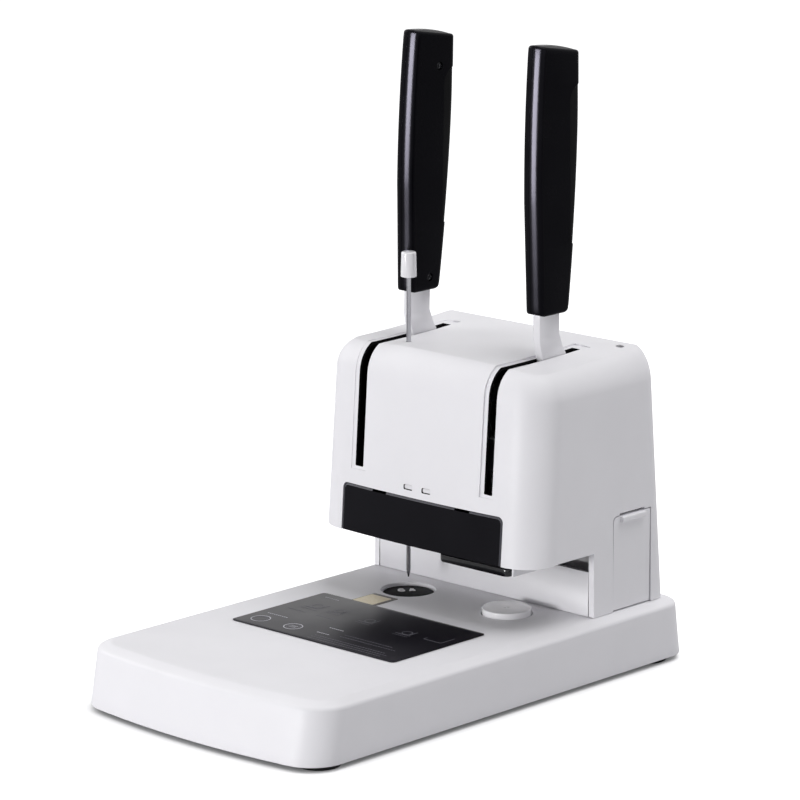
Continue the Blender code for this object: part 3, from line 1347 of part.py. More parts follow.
def make_drive(materials):
    """Makes the motor that rides on the quill, its carrier, pulley and belt."""
    motor = (MOTOR_X, DRILL_Y)
    carrier_low = CARRIER_TOP_Z - CARRIER_THICKNESS
    radius = MOTOR_RADIUS
    left = DRILL_X - QUILL_RADIUS - CARRIER_MARGIN
    outline = rounded_box((left, DRILL_Y - radius), (MOTOR_X + radius, DRILL_Y + radius), radius / 2)
    holes = [
        circle((DRILL_X, DRILL_Y), QUILL_RADIUS + FIT, ROUND_STEPS),
        circle(motor, MOTOR_BOSS_RADIUS + FIT),
    ]
    shape = prism([outline, *holes], carrier_low, CARRIER_TOP_Z, "z")
    finish("motor_carrier", shape, materials["zinc"], (DRILL_X, DRILL_Y, carrier_low))
    top = carrier_low - FIT
    shaft_top = PULLEY_LOW_Z + PULLEY_HEIGHT
    boss_top = CARRIER_TOP_Z
    profile = [
        (0.0, top - MOTOR_LENGTH),
        (radius - KNOB_BEVEL, top - MOTOR_LENGTH),
        (radius, top - MOTOR_LENGTH + KNOB_BEVEL),
        (radius, top),
        (MOTOR_BOSS_RADIUS, top),
        (MOTOR_BOSS_RADIUS, boss_top),
        (MOTOR_SHAFT_RADIUS, boss_top),
        (MOTOR_SHAFT_RADIUS, shaft_top),
        (0.0, shaft_top),
    ]
    finish("drill_motor", turned(profile, ROUND_STEPS, "z", motor), materials["dark steel"], (*motor, top))
    small = pulley(MOTOR_PULLEY_RADIUS, MOTOR_SHAFT_RADIUS + FIT)
    shape = turned(small, SMALL_ROUND_STEPS, "z", motor)
    finish("motor_pulley", shape, materials["aluminium"], (*motor, top))
    middle = PULLEY_LOW_Z + PULLEY_HEIGHT / 2
    low, high = middle - BELT_WIDTH / 2, middle + BELT_WIDTH / 2
    large, little = PULLEY_RADIUS - BELT_THICKNESS + FIT, MOTOR_PULLEY_RADIUS - BELT_THICKNESS + FIT
    inner = belt_outline(large, little)
    outer = belt_outline(large + BELT_THICKNESS, little + BELT_THICKNESS)
    finish("drive_belt", prism([outer, inner], low, high, "z"), materials["rubber"], (*motor, top))


def belt_outline(large, little):
    """Gives a loop round the spindle's pulley and the motor's."""
    span = MOTOR_X - DRILL_X
    lean = math.degrees(math.acos((large - little) / span))
    points = arc((DRILL_X, DRILL_Y), large, lean, FULL_TURN - lean, CORNER_STEPS * 2)
    points += arc((MOTOR_X, DRILL_Y), little, -lean, lean, CORNER_STEPS)
    return points


def make_quill_guide(surface):
    """Makes the guide round the quill, open at the rear where the gear reaches the rack."""
    bore = QUILL_RADIUS + FIT
    slot = PUNCH_GEAR_WIDTH / 2 + RUN
    meet = math.degrees(math.acos(slot / bore))
    left = DRILL_X - bore - GUIDE_WALL
    right = PUNCH_INNER_X - CHASSIS_PLATE - FIT
    front = DRILL_Y - bore - GUIDE_WALL
    rear = GUIDE_REAR_Y
    outline = [(left, rear), (left, front), (right, front), (right, rear), (DRILL_X + slot, rear)]
    end = 2 * (QUARTER_TURN - meet) - FULL_TURN + meet
    outline += arc((DRILL_X, DRILL_Y), bore, meet, end, SMALL_ROUND_STEPS)
    outline += [(DRILL_X - slot, rear)]
    low = QUILL_GUIDE_LOW_Z
    finish("quill_guide", prism([outline], low, low + QUILL_GUIDE_HEIGHT, "z"), surface)


def make_needle(materials):
    """Makes the rod that clears the hollow bit, and the knob on its top."""
    centre = (DRILL_X, DRILL_Y)
    top = KNOB_LOW_Z + KNOB_SOCKET - FIT
    origin = (DRILL_X, DRILL_Y, NEEDLE_LOW_Z)
    profile = [
        (0.0, NEEDLE_LOW_Z),
        (NEEDLE_TIP_RADIUS, NEEDLE_LOW_Z),
        (NEEDLE_RADIUS, NEEDLE_LOW_Z + NEEDLE_POINT),
        (NEEDLE_RADIUS, top),
        (0.0, top),
    ]
    shape = turned(profile, SMALL_ROUND_STEPS // 2, "z", centre)
    finish("clearing_needle", shape, materials["steel"], origin)
    bore = NEEDLE_RADIUS + FIT
    high = KNOB_LOW_Z + KNOB_HEIGHT
    knob = [
        (bore, KNOB_LOW_Z),
        (KNOB_RADIUS + KNOB_FLARE, KNOB_LOW_Z),
        (KNOB_RADIUS, high - KNOB_BEVEL),
        (KNOB_RADIUS - KNOB_BEVEL, high),
        (0.0, high),
        (0.0, KNOB_LOW_Z + KNOB_SOCKET),
        (bore, KNOB_LOW_Z + KNOB_SOCKET),
    ]
    finish("needle_knob", turned(knob, SMALL_ROUND_STEPS, "z", centre), materials["white plastic"], origin)


def make_press(materials):
    """Makes the ram with its rack, the heated head under it and the pressing foot."""
    pitch_y = PIVOT_Y - RIVET_PITCH
    low, high = RAM_LOW_Z, RAM_TOP_Z
    origin = (RIVET_X, RIVET_Y, low)
    rack_high = PIVOT_Z + RIVET_STROKE + 2 * GEAR_MODULE * math.pi
    edge = rack_profile(pitch_y, low + WELD, min(rack_high, high - WELD))
    front = RIVET_Y - RAM_FRONT_DEPTH
    root = pitch_y - DEDENDUM
    outline = [(front, high), (front, low), (root, low)] + edge + [(root, high)]
    shape = prism([outline], RIVET_X - RAM_WIDTH / 2, RIVET_X + RAM_WIDTH / 2, "x")
    finish("press_ram", shape, materials["steel"], origin)
    centre = (RIVET_X, RIVET_Y)
    side = INSULATOR_SIDE / 2
    block = box((RIVET_X - side, RIVET_Y - side), (RIVET_X + side, RIVET_Y + side))
    shape = prism([block], INSULATOR_LOW_Z, INSULATOR_LOW_Z + INSULATOR_THICKNESS, "z")
    finish("heat_insulator", shape, materials["ceramic"], origin)
    heater_top = HEATER_LOW_Z + HEATER_HEIGHT
    side = HEATER_SIDE / 2
    section = box((RIVET_Y - side, HEATER_LOW_Z), (RIVET_Y + side, heater_top))
    bore = circle((RIVET_Y, (HEATER_LOW_Z + heater_top) / 2), HEATER_BORE)
    shape = prism([section, bore], RIVET_X - side, RIVET_X + side, "x")
    finish("heater_block", shape, materials["aluminium"], origin)
    die_top = DIE_LOW_Z + DIE_LENGTH
    profile = [
        (0.0, DIE_LOW_Z),
        (DIE_TIP_RADIUS, DIE_LOW_Z),
        (DIE_RADIUS, DIE_LOW_Z + DIE_TIP_DEPTH),
        (DIE_RADIUS, die_top),
        (0.0, die_top),
    ]
    finish("rivet_die", turned(profile, SMALL_ROUND_STEPS, "z", centre), materials["brass"], origin)
    make_press_foot(materials, origin, die_top)


def make_press_foot(materials, origin, hub_top):
    """Makes the black plate that flattens the stack round the die, with its collar."""
    low, high = FOOT_PLATE_LOW_Z, FOOT_PLATE_LOW_Z + FOOT_PLATE_THICKNESS
    hole = DIE_RADIUS + FOOT_HUB_GAP
    outline = rounded_box(
        (FOOT_PLATE_LEFT_X, FOOT_PLATE_FRONT_Y),
        (FOOT_PLATE_RIGHT_X, FOOT_PLATE_REAR_Y),
        FOOT_PLATE_CORNER,
    )
    shape = prism([outline, circle((RIVET_X, RIVET_Y), hole)], low, high, "z")
    foot = finish("presser_foot", shape, materials["black plastic"], origin)
    far, top = FOOT_PLATE_RIGHT_X + OVERRUN, high + OVERRUN
    centre = (FOOT_PLATE_LEFT_X + FOOT_PLATE_NOSE, low + FOOT_PLATE_NOSE)
    nose = arc(centre, FOOT_PLATE_NOSE, 180, 270, FILLET_STEPS)
    keep = prism([nose + [(far, low), (far, top), (FOOT_PLATE_LEFT_X, top)]], 0.0, COLUMN_FRONT_Y, "y")
    combine(foot, helper("foot_nose", keep), "INTERSECT")
    collar = tube(hole + FOOT_HUB_WALL, hole, high - WELD, hub_top)
    combine(foot, helper("foot_collar", turned(collar, SMALL_ROUND_STEPS, "z", (RIVET_X, RIVET_Y))), "UNION")


def make_ram_guide(surface):
    """Makes the guide round the ram, open at the rear for the gear."""
    gap = FIT
    left, right = RIVET_X - RAM_WIDTH / 2 - gap, RIVET_X + RAM_WIDTH / 2 + gap
    ram_front = RIVET_Y - RAM_FRONT_DEPTH - gap
    front = ram_front - RAM_GUIDE_FRONT
    rear = GUIDE_REAR_Y
    inner = RIVET_INNER_X + FIT
    outer = right + RAM_GUIDE_THIN
    outline = [
        (inner, rear), (inner, front), (outer, front), (outer, rear),
        (right, rear), (right, ram_front), (left, ram_front), (left, rear),
    ]
    low = RAM_GUIDE_LOW_Z
    finish("ram_guide", prism([outline], low, low + RAM_GUIDE_HEIGHT, "z"), surface)


def make_foot_shroud(surface):
    """Makes the bent sheet over the pressing foot, with a flange down its right side."""
    top = FLOOR_LOW_Z - FIT
    web = top - SHEET
    right = FOOT_PLATE_RIGHT_X + SHROUD_SIDE_GAP
    left = RIVET_X - PRESS_HOLE_SIDE - SHROUD_SIDE_GAP
    front, rear = FOOT_PLATE_FRONT_Y, FOOT_PLATE_REAR_Y + SHROUD_SIDE_GAP
    section = [
        (left, web), (right, web), (right, SHROUD_LOW_Z), (right + SHEET, SHROUD_LOW_Z),
        (right + SHEET, top), (left, top),
    ]
    shroud = finish("foot_shroud", prism([section], front, rear, "y"), surface)
    shape = prism([press_hole()], web - OVERRUN, top + OVERRUN, "z")
    combine(shroud, helper("shroud_hole", shape), "DIFFERENCE")


def lean_back(shape):
    """Slants a fitting so that it lies against the rear wall."""
    for vert in shape.verts:
        vert.co.y -= REAR_SLOPE * (vert.co.z - INLET_Z)
    return shape


def fitting_outline(x, width, height, grow, corner):
    """Gives the outline of a rear fitting, wider or narrower all round."""
    low = (x - width / 2 - grow, INLET_Z - height / 2 - grow)
    high = (x + width / 2 + grow, INLET_Z + height / 2 + grow)
    return rounded_box(low, high, corner)


def fitting_prism(outline, low, high):
    """Makes one straight shape of a rear fitting."""
    return lean_back(prism([outline], low, high, "y"))


def make_inlet(materials):
    """Makes the three-pin power inlet in the rear wall."""
    size = (INLET_X, INLET_WIDTH, INLET_HEIGHT)
    wall = INLET_WALL
    seat = rear_at(INLET_Z) + FIT
    bottom = seat - INLET_DEPTH
    flange = fitting_outline(*size, INLET_RIM, INLET_CORNER)
    shape = fitting_prism(flange, seat, seat + INLET_FLANGE)
    inlet = finish("power_inlet", shape, materials["black plastic"])
    body = fitting_prism(fitting_outline(*size, 0.0, WELD), bottom, seat + WELD)
    combine(inlet, helper("inlet_body", body), "UNION")
    socket = fitting_outline(*size, -wall, INLET_CORNER / 2)
    hollow = fitting_prism(socket, bottom + wall, seat + OVERRUN)
    combine(inlet, helper("inlet_socket", hollow), "DIFFERENCE")
    pins = bmesh.new()
    for x, z in ((-wall * 3, 0.0), (0.0, wall), (wall * 3, 0.0)):
        low = (INLET_X + x - wall / 2, INLET_Z + z - wall)
        high = (INLET_X + x + wall / 2, INLET_Z + z + wall)
        add_prism(pins, [box(low, high)], bottom + WELD, seat - wall, "y")
    combine(inlet, helper("inlet_pins", lean_back(pins)), "UNION")


def make_switch(materials):
    """Makes the mains switch beside the inlet: a frame and a rocker that tips in it."""
    size = (SWITCH_X, SWITCH_WIDTH, SWITCH_HEIGHT)
    wall = ROCKER_WALL
    seat = rear_at(INLET_Z) + FIT
    bottom = seat - SWITCH_DEPTH
    rim = fitting_outline(*size, SWITCH_RIM, SWITCH_RIM)
    frame = finish("switch_frame", fitting_prism(rim, seat, seat + INLET_FLANGE), materials["black plastic"])
    body = fitting_prism(fitting_outline(*size, 0.0, WELD), bottom, seat + WELD)
    combine(frame, helper("switch_body", body), "UNION")
    well = fitting_prism(fitting_outline(*size, -wall, WELD / 2), bottom + wall, seat + OVERRUN)
    combine(frame, helper("switch_well", well), "DIFFERENCE")
    reach = SWITCH_HEIGHT / 2 - wall - 2 * RUN
    out = reach * math.tan(ROCKER_TILT)
    section = [
        (-ROCKER_ROOT, -reach / 3),
        (-ROCKER_ROOT, reach / 3),
        (out, reach),
        (ROCKER_RISE, 0.0),
        (out, -reach),
    ]
    turn = math.atan(REAR_SLOPE) + ROCKER_TILT
    cosine, sine = math.cos(turn), math.sin(turn)
    tipped = [(seat + y * cosine - z * sine, INLET_Z + y * sine + z * cosine) for y, z in section]
    low = SWITCH_X - SWITCH_WIDTH / 2 + wall + RUN
    high = SWITCH_X + SWITCH_WIDTH / 2 - wall - RUN
    shape = prism([tipped], low, high, "x")
    finish("power_rocker", shape, materials["black plastic"], (SWITCH_X, seat, INLET_Z))


def make_board(surface):
    """Makes the control board on its standoffs in the front of the base."""
    low = PLATE_TOP_Z + FIT + BOARD_RISE
    half_x, half_y = BOARD_WIDTH / 2, BOARD_LENGTH / 2
    outline = box((-half_x, BOARD_Y - half_y), (half_x, BOARD_Y + half_y))
    board = finish("control_board", prism([outline], low, low + BOARD_THICKNESS, "z"), surface)
    posts = bmesh.new()
    inset = STANDOFF_RADIUS * 2
    for x in (-half_x + inset, half_x - inset):
        for y in (BOARD_Y - half_y + inset, BOARD_Y + half_y - inset):
            profile = rod(STANDOFF_RADIUS, PLATE_TOP_Z + FIT, low + BOARD_THICKNESS / 2)
            add_turned(posts, profile, SMALL_ROUND_STEPS // 2, "z", (x, y))
    combine(board, helper("board_standoffs", posts), "UNION")


def build():
    """Makes the whole machine."""
    clear_scene()
    materials = make_materials()
    make_base(materials["white plastic"])
    make_base_plate(materials["zinc"])
    make_feet(materials["rubber"])
    make_panel(materials["film"])
    make_pad(materials)
    make_anvil(materials)
    make_housing(materials["white plastic"])
    make_window(materials["smoked"])
    make_lenses(materials["lens"])
    make_column_panel(materials["white plastic"])
    make_drawer(materials["white plastic"])
    make_chassis(materials["zinc"])
    make_tie_plate(materials["zinc"])
    make_floor(materials["dark steel"])
    make_shafts(materials["steel"])
    make_quill_guide(materials["dark steel"])
    make_ram_guide(materials["dark steel"])
    for name, side in (("punch", -1), ("rivet", 1)):
        make_lever(name + "_lever_bar", side, materials["white paint"])
        make_grip(name + "_grip", side, materials)
    make_gear("punch_sector_gear", PUNCH_TEETH, DRILL_X, PUNCH_GEAR_WIDTH, -1, materials["steel"])
    make_gear("rivet_sector_gear", RIVET_TEETH, RIVET_X, RIVET_GEAR_WIDTH, 1, materials["steel"])
    make_quill(materials["steel"])
    make_spindle(materials)
    make_drive(materials)
    make_needle(materials)
    make_press(materials)
    make_foot_shroud(materials["white paint"])
    make_inlet(materials)
    make_switch(materials)
    make_board(materials["board"])


build()
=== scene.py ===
import json
import math

import bmesh
import bpy
from mathutils import Matrix, Vector

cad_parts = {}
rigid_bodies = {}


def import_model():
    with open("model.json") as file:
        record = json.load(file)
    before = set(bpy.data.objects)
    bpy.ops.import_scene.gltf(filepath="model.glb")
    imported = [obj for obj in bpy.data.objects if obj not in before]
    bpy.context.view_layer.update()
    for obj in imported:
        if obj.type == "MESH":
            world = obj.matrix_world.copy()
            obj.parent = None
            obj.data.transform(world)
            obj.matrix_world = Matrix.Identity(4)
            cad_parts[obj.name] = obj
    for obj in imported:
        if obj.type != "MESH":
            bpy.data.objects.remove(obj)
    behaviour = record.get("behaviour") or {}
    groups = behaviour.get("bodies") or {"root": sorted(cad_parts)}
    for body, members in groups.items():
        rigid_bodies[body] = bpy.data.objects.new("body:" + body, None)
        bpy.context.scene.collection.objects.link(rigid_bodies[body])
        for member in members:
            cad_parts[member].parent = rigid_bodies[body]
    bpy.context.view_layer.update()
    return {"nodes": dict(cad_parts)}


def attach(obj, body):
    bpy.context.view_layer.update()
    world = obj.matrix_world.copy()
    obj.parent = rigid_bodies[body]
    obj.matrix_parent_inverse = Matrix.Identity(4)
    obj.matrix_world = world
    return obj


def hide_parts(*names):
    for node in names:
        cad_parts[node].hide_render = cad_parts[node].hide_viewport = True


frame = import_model()
nodes = frame["nodes"]
mm = 0.001    # sizes below are in millimetres, Blender's are in metres
print("frame loaded,", len(nodes), "solids")

view = {
    "lens": 187.269,                        # for a 36 mm wide picture
    "place": (1.85098, -1.96440, 0.81748),  # metres
    "turn": 43.1065,                        # degrees away from looking along +Y
    "down": 12.972,
    "roll": 0.017,
}

studio = {
    "ambient": 0.25,          # soft light from all round
    "floorColour": "#D2D2D4",
    "floorSize": 14,          # metres
    "floorGlow": 0.85,        # the paper's own light, for the camera only
    "contact": 0.03,          # metres round the object in which that light fades
    "lamps": {
        # place, width and height in metres, watts; the strip lights the grips alone
        "frontSoftbox": ((-0.40, -2.4, 0.22), 0.6, 0.4, 31),
        "leftSoftbox": ((-2.2, -0.6, 1.3), 1.6, 1.2, 14),
        "rightSoftbox": ((2.3, 0.2, 0.6), 1.4, 1.0, 4.5),
        "overheadSoftbox": ((0.6, 0.9, 3.0), 2.2, 2.2, 60),
        "gripStrip": ((0.18, -0.62, 0.37), 0.75, 0.36, 115),
    },
    "aim": (0, 0, 0.15),      # metres; where the lamps point
}


def linear(hexColour):
    # sRGB hex to the linear numbers that Blender's sockets take
    channels = [int(hexColour[i:i + 2], 16) / 255 for i in (1, 3, 5)]
    return [c / 12.92 if c <= 0.04045 else ((c + 0.055) / 1.055) ** 2.4 for c in channels] + [1.0]


def addNode(tree, kind, inputs=None, **settings):
    # an input is a plain value, or another node's output to link
    node = tree.nodes.new(kind)
    for name, value in settings.items():
        setattr(node, name, value)
    for socket, value in (inputs or {}).items():
        if isinstance(value, bpy.types.NodeSocket):
            tree.links.new(value, node.inputs[socket])
        else:
            node.inputs[socket].default_value = value
    return node


def rectangle(left, low, right, high):
    return [(left, low), (right, low), (right, high), (left, high)]


def makeCamera():
    turn, down = math.radians(view["turn"]), math.radians(view["down"])
    ahead = Vector((-math.sin(turn) * math.cos(down), math.cos(turn) * math.cos(down), -math.sin(down)))
    right = Vector((math.cos(turn), math.sin(turn), 0))
    up = right.cross(ahead)
    data = bpy.data.cameras.new("camera")
    data.sensor_width = 36
    data.lens = view["lens"]
    data.clip_start, data.clip_end = 0.01, 30
    camera = bpy.data.objects.new("camera", data)
    bpy.context.scene.collection.objects.link(camera)
    facing = Matrix((right, up, -ahead)).transposed().to_4x4()
    roll = Matrix.Rotation(math.radians(view["roll"]), 4, "Z")
    camera.matrix_world = Matrix.Translation(view["place"]) @ facing @ roll
    bpy.context.scene.camera = camera


def makeLamp(name, place, width, height, power):
    data = bpy.data.lights.new(name, "AREA")
    data.shape = "RECTANGLE"
    data.size, data.size_y = width, height
    data.energy = power
    lamp = bpy.data.objects.new(name, data)
    bpy.context.scene.collection.objects.link(lamp)
    lamp.location = place
    lamp.rotation_euler = (Vector(place) - Vector(studio["aim"])).to_track_quat("Z", "Y").to_euler()
    lamp.visible_camera = False
    return lamp


def makeWorld():
    # plain white for the camera, mirrors and windows; softer light for everything else
    world = bpy.data.worlds.new("studio")
    bpy.context.scene.world = world
    world.use_nodes = True
    tree = world.node_tree
    tree.nodes.clear()
    path = addNode(tree, "ShaderNodeLightPath")
    seen = path.outputs["Is Camera Ray"]
    for ray in ("Is Glossy Ray", "Is Transmission Ray"):
        either = addNode(tree, "ShaderNodeMath", {0: seen, 1: path.outputs[ray]}, operation="MAXIMUM")
        seen = either.outputs[0]
    limits = {"Value": seen, "To Min": studio["ambient"], "To Max": 1.0}
    strength = addNode(tree, "ShaderNodeMapRange", limits).outputs[0]
    light = addNode(tree, "ShaderNodeBackground", {"Color": (1, 1, 1, 1), "Strength": strength})
    addNode(tree, "ShaderNodeOutputWorld", {"Surface": light.outputs[0]})


def makeFloor():
    # white paper that runs into the background and keeps the object's shadow
    paper = bpy.data.materials.new("whitePaperFloor")
    paper.use_nodes = True
    tree = paper.node_tree
    tree.nodes.clear()
    path = addNode(tree, "ShaderNodeLightPath")
    matt = addNode(tree, "ShaderNodeBsdfDiffuse", {"Color": linear(studio["floorColour"])})
    # painted shade: the glow fades by ambient occlusion close to the object, a painted contact shadow under
    # its edges
    near = addNode(tree, "ShaderNodeAmbientOcclusion", {"Distance": studio["contact"]}, samples=8)
    levels = {0: near.outputs["AO"], 1: studio["floorGlow"]}
    level = addNode(tree, "ShaderNodeMath", levels, operation="MULTIPLY")
    glow = addNode(tree, "ShaderNodeEmission", {"Color": (1, 1, 1, 1), "Strength": level.outputs[0]})
    both = addNode(tree, "ShaderNodeAddShader", {0: matt.outputs[0], 1: glow.outputs[0]})
    layers = {0: path.outputs["Is Camera Ray"], 1: matt.outputs[0], 2: both.outputs[0]}
    pick = addNode(tree, "ShaderNodeMixShader", layers)
    addNode(tree, "ShaderNodeOutputMaterial", {"Surface": pick.outputs[0]})
    half = studio["floorSize"] / 2
    mesh = bpy.data.meshes.new("floor")
    mesh.from_pydata([(x, y, 0) for x, y in rectangle(-half, -half, half, half)], [], [(0, 1, 2, 3)])
    mesh.materials.append(paper)
    floor = bpy.data.objects.new("floor", mesh)
    bpy.context.scene.collection.objects.link(floor)


makeCamera()
makeWorld()
makeFloor()
lamps = {name: makeLamp(name, *setting) for name, setting in studio["lamps"].items()}
print("camera and studio ready")

finishes = {}


def startMaterial(name, colour, roughness, metallic=0.0, ior=1.5, specular=0.5):
    # a Principled surface with its plain values on the shader itself
    made = bpy.data.materials.new(name)
    made.use_nodes = True
    shader = made.node_tree.nodes["Principled BSDF"]
    values = {"Base Color": linear(colour), "Roughness": roughness, "Metallic": metallic, "IOR": ior,
              "Specular IOR Level": specular}
    for socket, value in values.items():
        shader.inputs[socket].default_value = value
    finishes[name] = made
    return made.node_tree, shader


def addRelief(tree, shader, height, strength, depth):
    relief = {"Height": height, "Strength": strength, "Distance": depth * mm}
    tree.links.new(addNode(tree, "ShaderNodeBump", relief).outputs[0], shader.inputs["Normal"])


def addShades(tree, shader, share, colour, other):
    shades = {"Factor": share, 6: linear(colour), 7: linear(other)}
    tint = addNode(tree, "ShaderNodeMix", shades, data_type="RGBA")
    tree.links.new(tint.outputs[2], shader.inputs["Base Color"])


def addGrain(tree, shader, size, strength, height=0.05, stretch=(1, 1, 1)):
    # fine relief of the surface; size is the width of one grain in mm
    spot = addNode(tree, "ShaderNodeTexCoord").outputs["Object"]
    placed = addNode(tree, "ShaderNodeMapping", {"Vector": spot, "Scale": stretch}).outputs[0]
    spread = {"Vector": placed, "Scale": 1 / (size * mm), "Detail": 3.0}
    grain = addNode(tree, "ShaderNodeTexNoise", spread)
    addRelief(tree, shader, grain.outputs["Fac"], strength, height)
    return placed


def addMottle(tree, shader, placed, colour, other, size, rough, glossy):
    # slow change of colour and gloss, as handling leaves it; size in mm
    spread = {"Vector": placed, "Scale": 1 / (size * mm), "Detail": 2.0}
    cloud = addNode(tree, "ShaderNodeTexNoise", spread).outputs["Fac"]
    limits = {"Value": cloud, "From Min": 0.3, "From Max": 0.7}
    share = addNode(tree, "ShaderNodeMapRange", limits).outputs[0]
    level = addNode(tree, "ShaderNodeMapRange", {"Value": share, "To Min": rough, "To Max": glossy})
    addShades(tree, shader, share, colour, other)
    tree.links.new(level.outputs[0], shader.inputs["Roughness"])


plastics = {
    # colour, its other shade, roughness, its other end, IOR, specular level, grain mm, grain strength
    # spark-eroded mould: soft sheen; its grain is drawn coarser than the real one
    "mouldedAbs": ("#EBEAEE", "#E9E8EC", 0.46, 0.52, 1.53, 0.5, 0.55, 0.1),
    # cap, knob and lenses, from a polished mould
    "glossWhiteAbs": ("#F0EFF2", "#EDECF0", 0.16, 0.2, 1.53, 0.5, 0.6, 0.03),
    # grips: near black, with a long soft highlight
    "satinBlackAbs": ("#060609", "#08080B", 0.24, 0.28, 1.53, 0.05, 0.5, 0.03),
    # their tops, which mirror the room at a low angle
    "polishedBlackAbs": ("#08080C", "#0A0A0E", 0.16, 0.2, 1.53, 0.03, 0.5, 0.02),
    # rubbery inlay, a little duller
    "softTpe": ("#060608", "#09090B", 0.34, 0.42, 1.5, 0.07, 0.4, 0.1),
    # its rim: painted highlight, a paler colour standing in for the glint of its edge
    "paintedGlintTpe": ("#7C7C82", "#606066", 0.4, 0.5, 1.5, 0.5, 0.4, 0.1),
    # inlet and switch: flat black
    "mattBlackNylon": ("#121214", "#17171A", 0.5, 0.58, 1.53, 0.3, 0.5, 0.12),
    # painted shade: near black for the unlit inside of the head, its floor, and the walls of the slots and
    # holes
    "paintedShadeBlack": ("#08080A", "#0B0B0D", 0.75, 0.85, 1.53, 0.1, 0.6, 0.1),
    # window: dark gloss
    "smokedPolycarbonate": ("#0A090F", "#0C0B11", 0.14, 0.2, 1.58, 0.1, 0.7, 0.01),
    # its chamfer: painted highlight, a paler colour standing in for the light the edge catches
    "paintedHighlightPolycarbonate": ("#3B3A42", "#37363E", 0.4, 0.46, 1.58, 0.4, 0.4, 0.05),
    # panel: dark, shines only at a low angle
    "polyesterFilm": ("#100F14", "#121116", 0.3, 0.36, 1.6, 0.1, 0.4, 0.08),
    # waxy polyethylene, cut by the drill
    "cuttingPadPe": ("#0A0A0C", "#0F0F11", 0.55, 0.65, 1.51, 0.05, 0.8, 0.15),
    # pale torn rims of the cuts
    "scoredPe": ("#F4F4F6", "#E6E6E9", 0.22, 0.32, 1.51, 0.5, 0.3, 0.3),
    # presser foot, and a painted highlight for its edges: a pale colour standing in for the light they catch
    "glossBlackAbs": ("#0C0C0F", "#101014", 0.12, 0.16, 1.53, 0.5, 0.5, 0.03),
    "paintedHighlightBlackAbs": ("#85858B", "#6A6A70", 0.22, 0.3, 1.53, 0.5, 0.5, 0.05),
    # feet and belt: no shine
    "mouldedRubber": ("#101011", "#161617", 0.8, 0.9, 1.52, 0.3, 0.6, 0.25),
    # heat insulator: chalky ceramic
    "steatite": ("#CFC8BA", "#C4BCAD", 0.6, 0.7, 1.6, 0.5, 0.4, 0.2),
    # green solder mask
    "circuitBoard": ("#1E5A33", "#1A4F2C", 0.35, 0.45, 1.55, 0.5, 0.5, 0.08),
    # lever bars: faint orange peel
    "powderCoat": ("#E9E8EC", "#E6E5E9", 0.38, 0.44, 1.5, 0.5, 1.2, 0.1),
    # print on the panel: rings and headings, then its small drawings and rules
    "paleInk": ("#C9C8D0", "#BDBCC4", 0.5, 0.56, 1.5, 0.3, 0.3, 0.08),
    "faintInk": ("#66656D", "#5B5A62", 0.5, 0.56, 1.5, 0.2, 0.3, 0.08),
}
tints = {"polyesterFilm": "#EEE6FF", "satinBlackAbs": "#EEEAFF"}    # a violet cast in what they mirror
coats = {"glossWhiteAbs": 0.8}    # share of a clear top layer


mottle = {"plastic": 35, "metal": 25}    # size in mm


def makePlastics():
    for name, (colour, other, rough, glossy, ior, specular, grain, strength) in plastics.items():
        tree, shader = startMaterial(name, colour, rough, 0.0, ior, specular)
        placed = addGrain(tree, shader, grain, strength)
        addMottle(tree, shader, placed, colour, other, mottle["plastic"], rough, glossy)
        shader.inputs["Specular Tint"].default_value = linear(tints.get(name, "#FFFFFF"))
        shader.inputs["Coat Weight"].default_value = coats.get(name, 0.0)


metals = {
    # colour, its other shade, roughness, its other end, grain mm, stretch along Z
    # needle, quill and shafts: fine lengthwise grind
    "groundSteel": ("#A2A2A7", "#919196", 0.20, 0.30, 0.25, 0.05),
    # screws and motor can: dark, slightly oily
    "blackOxideSteel": ("#2A2A2C", "#202022", 0.36, 0.46, 0.5, 1.0),
    # pressed sheet, faintly clouded
    "zincPlate": ("#B9BDC0", "#AEB1B0", 0.34, 0.46, 0.8, 1.0),
    # pulleys and guides: turning marks
    "turnedAluminium": ("#CACBCD", "#BDBEC1", 0.28, 0.38, 0.2, 0.1),
    # die: warm, turned
    "turnedBrass": ("#C9A458", "#B8924A", 0.26, 0.36, 0.2, 0.1),
}
metalGrain = {"strength": 0.08, "height": 0.03}


def makeMetals():
    for name, (colour, other, rough, glossy, grain, stretch) in metals.items():
        tree, shader = startMaterial(name, colour, rough, 1.0)
        placed = addGrain(tree, shader, grain, stretch=(1, 1, stretch), **metalGrain)
        addMottle(tree, shader, placed, colour, other, mottle["metal"], rough, glossy)


foil = {
    # name: colour, and its other shade
    "shades": {"embossedFoil": ("#EADFC6", "#DCCDA8"), "foilBorder": ("#5B5149", "#3F3833")},
    "roughness": 0.38, "metallic": 0.25,
    "cell": 1.9, "strength": 0.3, "height": 0.04,    # embossing; cell and height in mm
}


def makeFoils():
    # embossed seal: small cells catch the light differently; its border is darker
    for name, (colour, other) in foil["shades"].items():
        tree, shader = startMaterial(name, colour, foil["roughness"], foil["metallic"])
        spot = addNode(tree, "ShaderNodeTexCoord").outputs["Object"]
        spread = {"Vector": spot, "Scale": 1 / (foil["cell"] * mm)}
        cells = addNode(tree, "ShaderNodeTexVoronoi", spread).outputs["Distance"]
        addShades(tree, shader, cells, colour, other)
        addRelief(tree, shader, cells, foil["strength"], foil["height"])


makePlastics()
makeMetals()
makeFoils()
print("finishes made:", len(finishes))


def arc(cx, cy, radius, start, end, steps):
    turns = [math.radians(start + (end - start) * i / steps) for i in range(steps + 1)]
    return [(cx + radius * math.cos(a), cy + radius * math.sin(a)) for a in turns]


def roundedBox(left, bottom, right, top, radius, steps):
    points = arc(right - radius, top - radius, radius, 0, 90, steps)
    points += arc(left + radius, top - radius, radius, 90, 180, steps)
    points += arc(left + radius, bottom + radius, radius, 180, 270, steps)
    return points + arc(right - radius, bottom + radius, radius, 270, 360, steps)


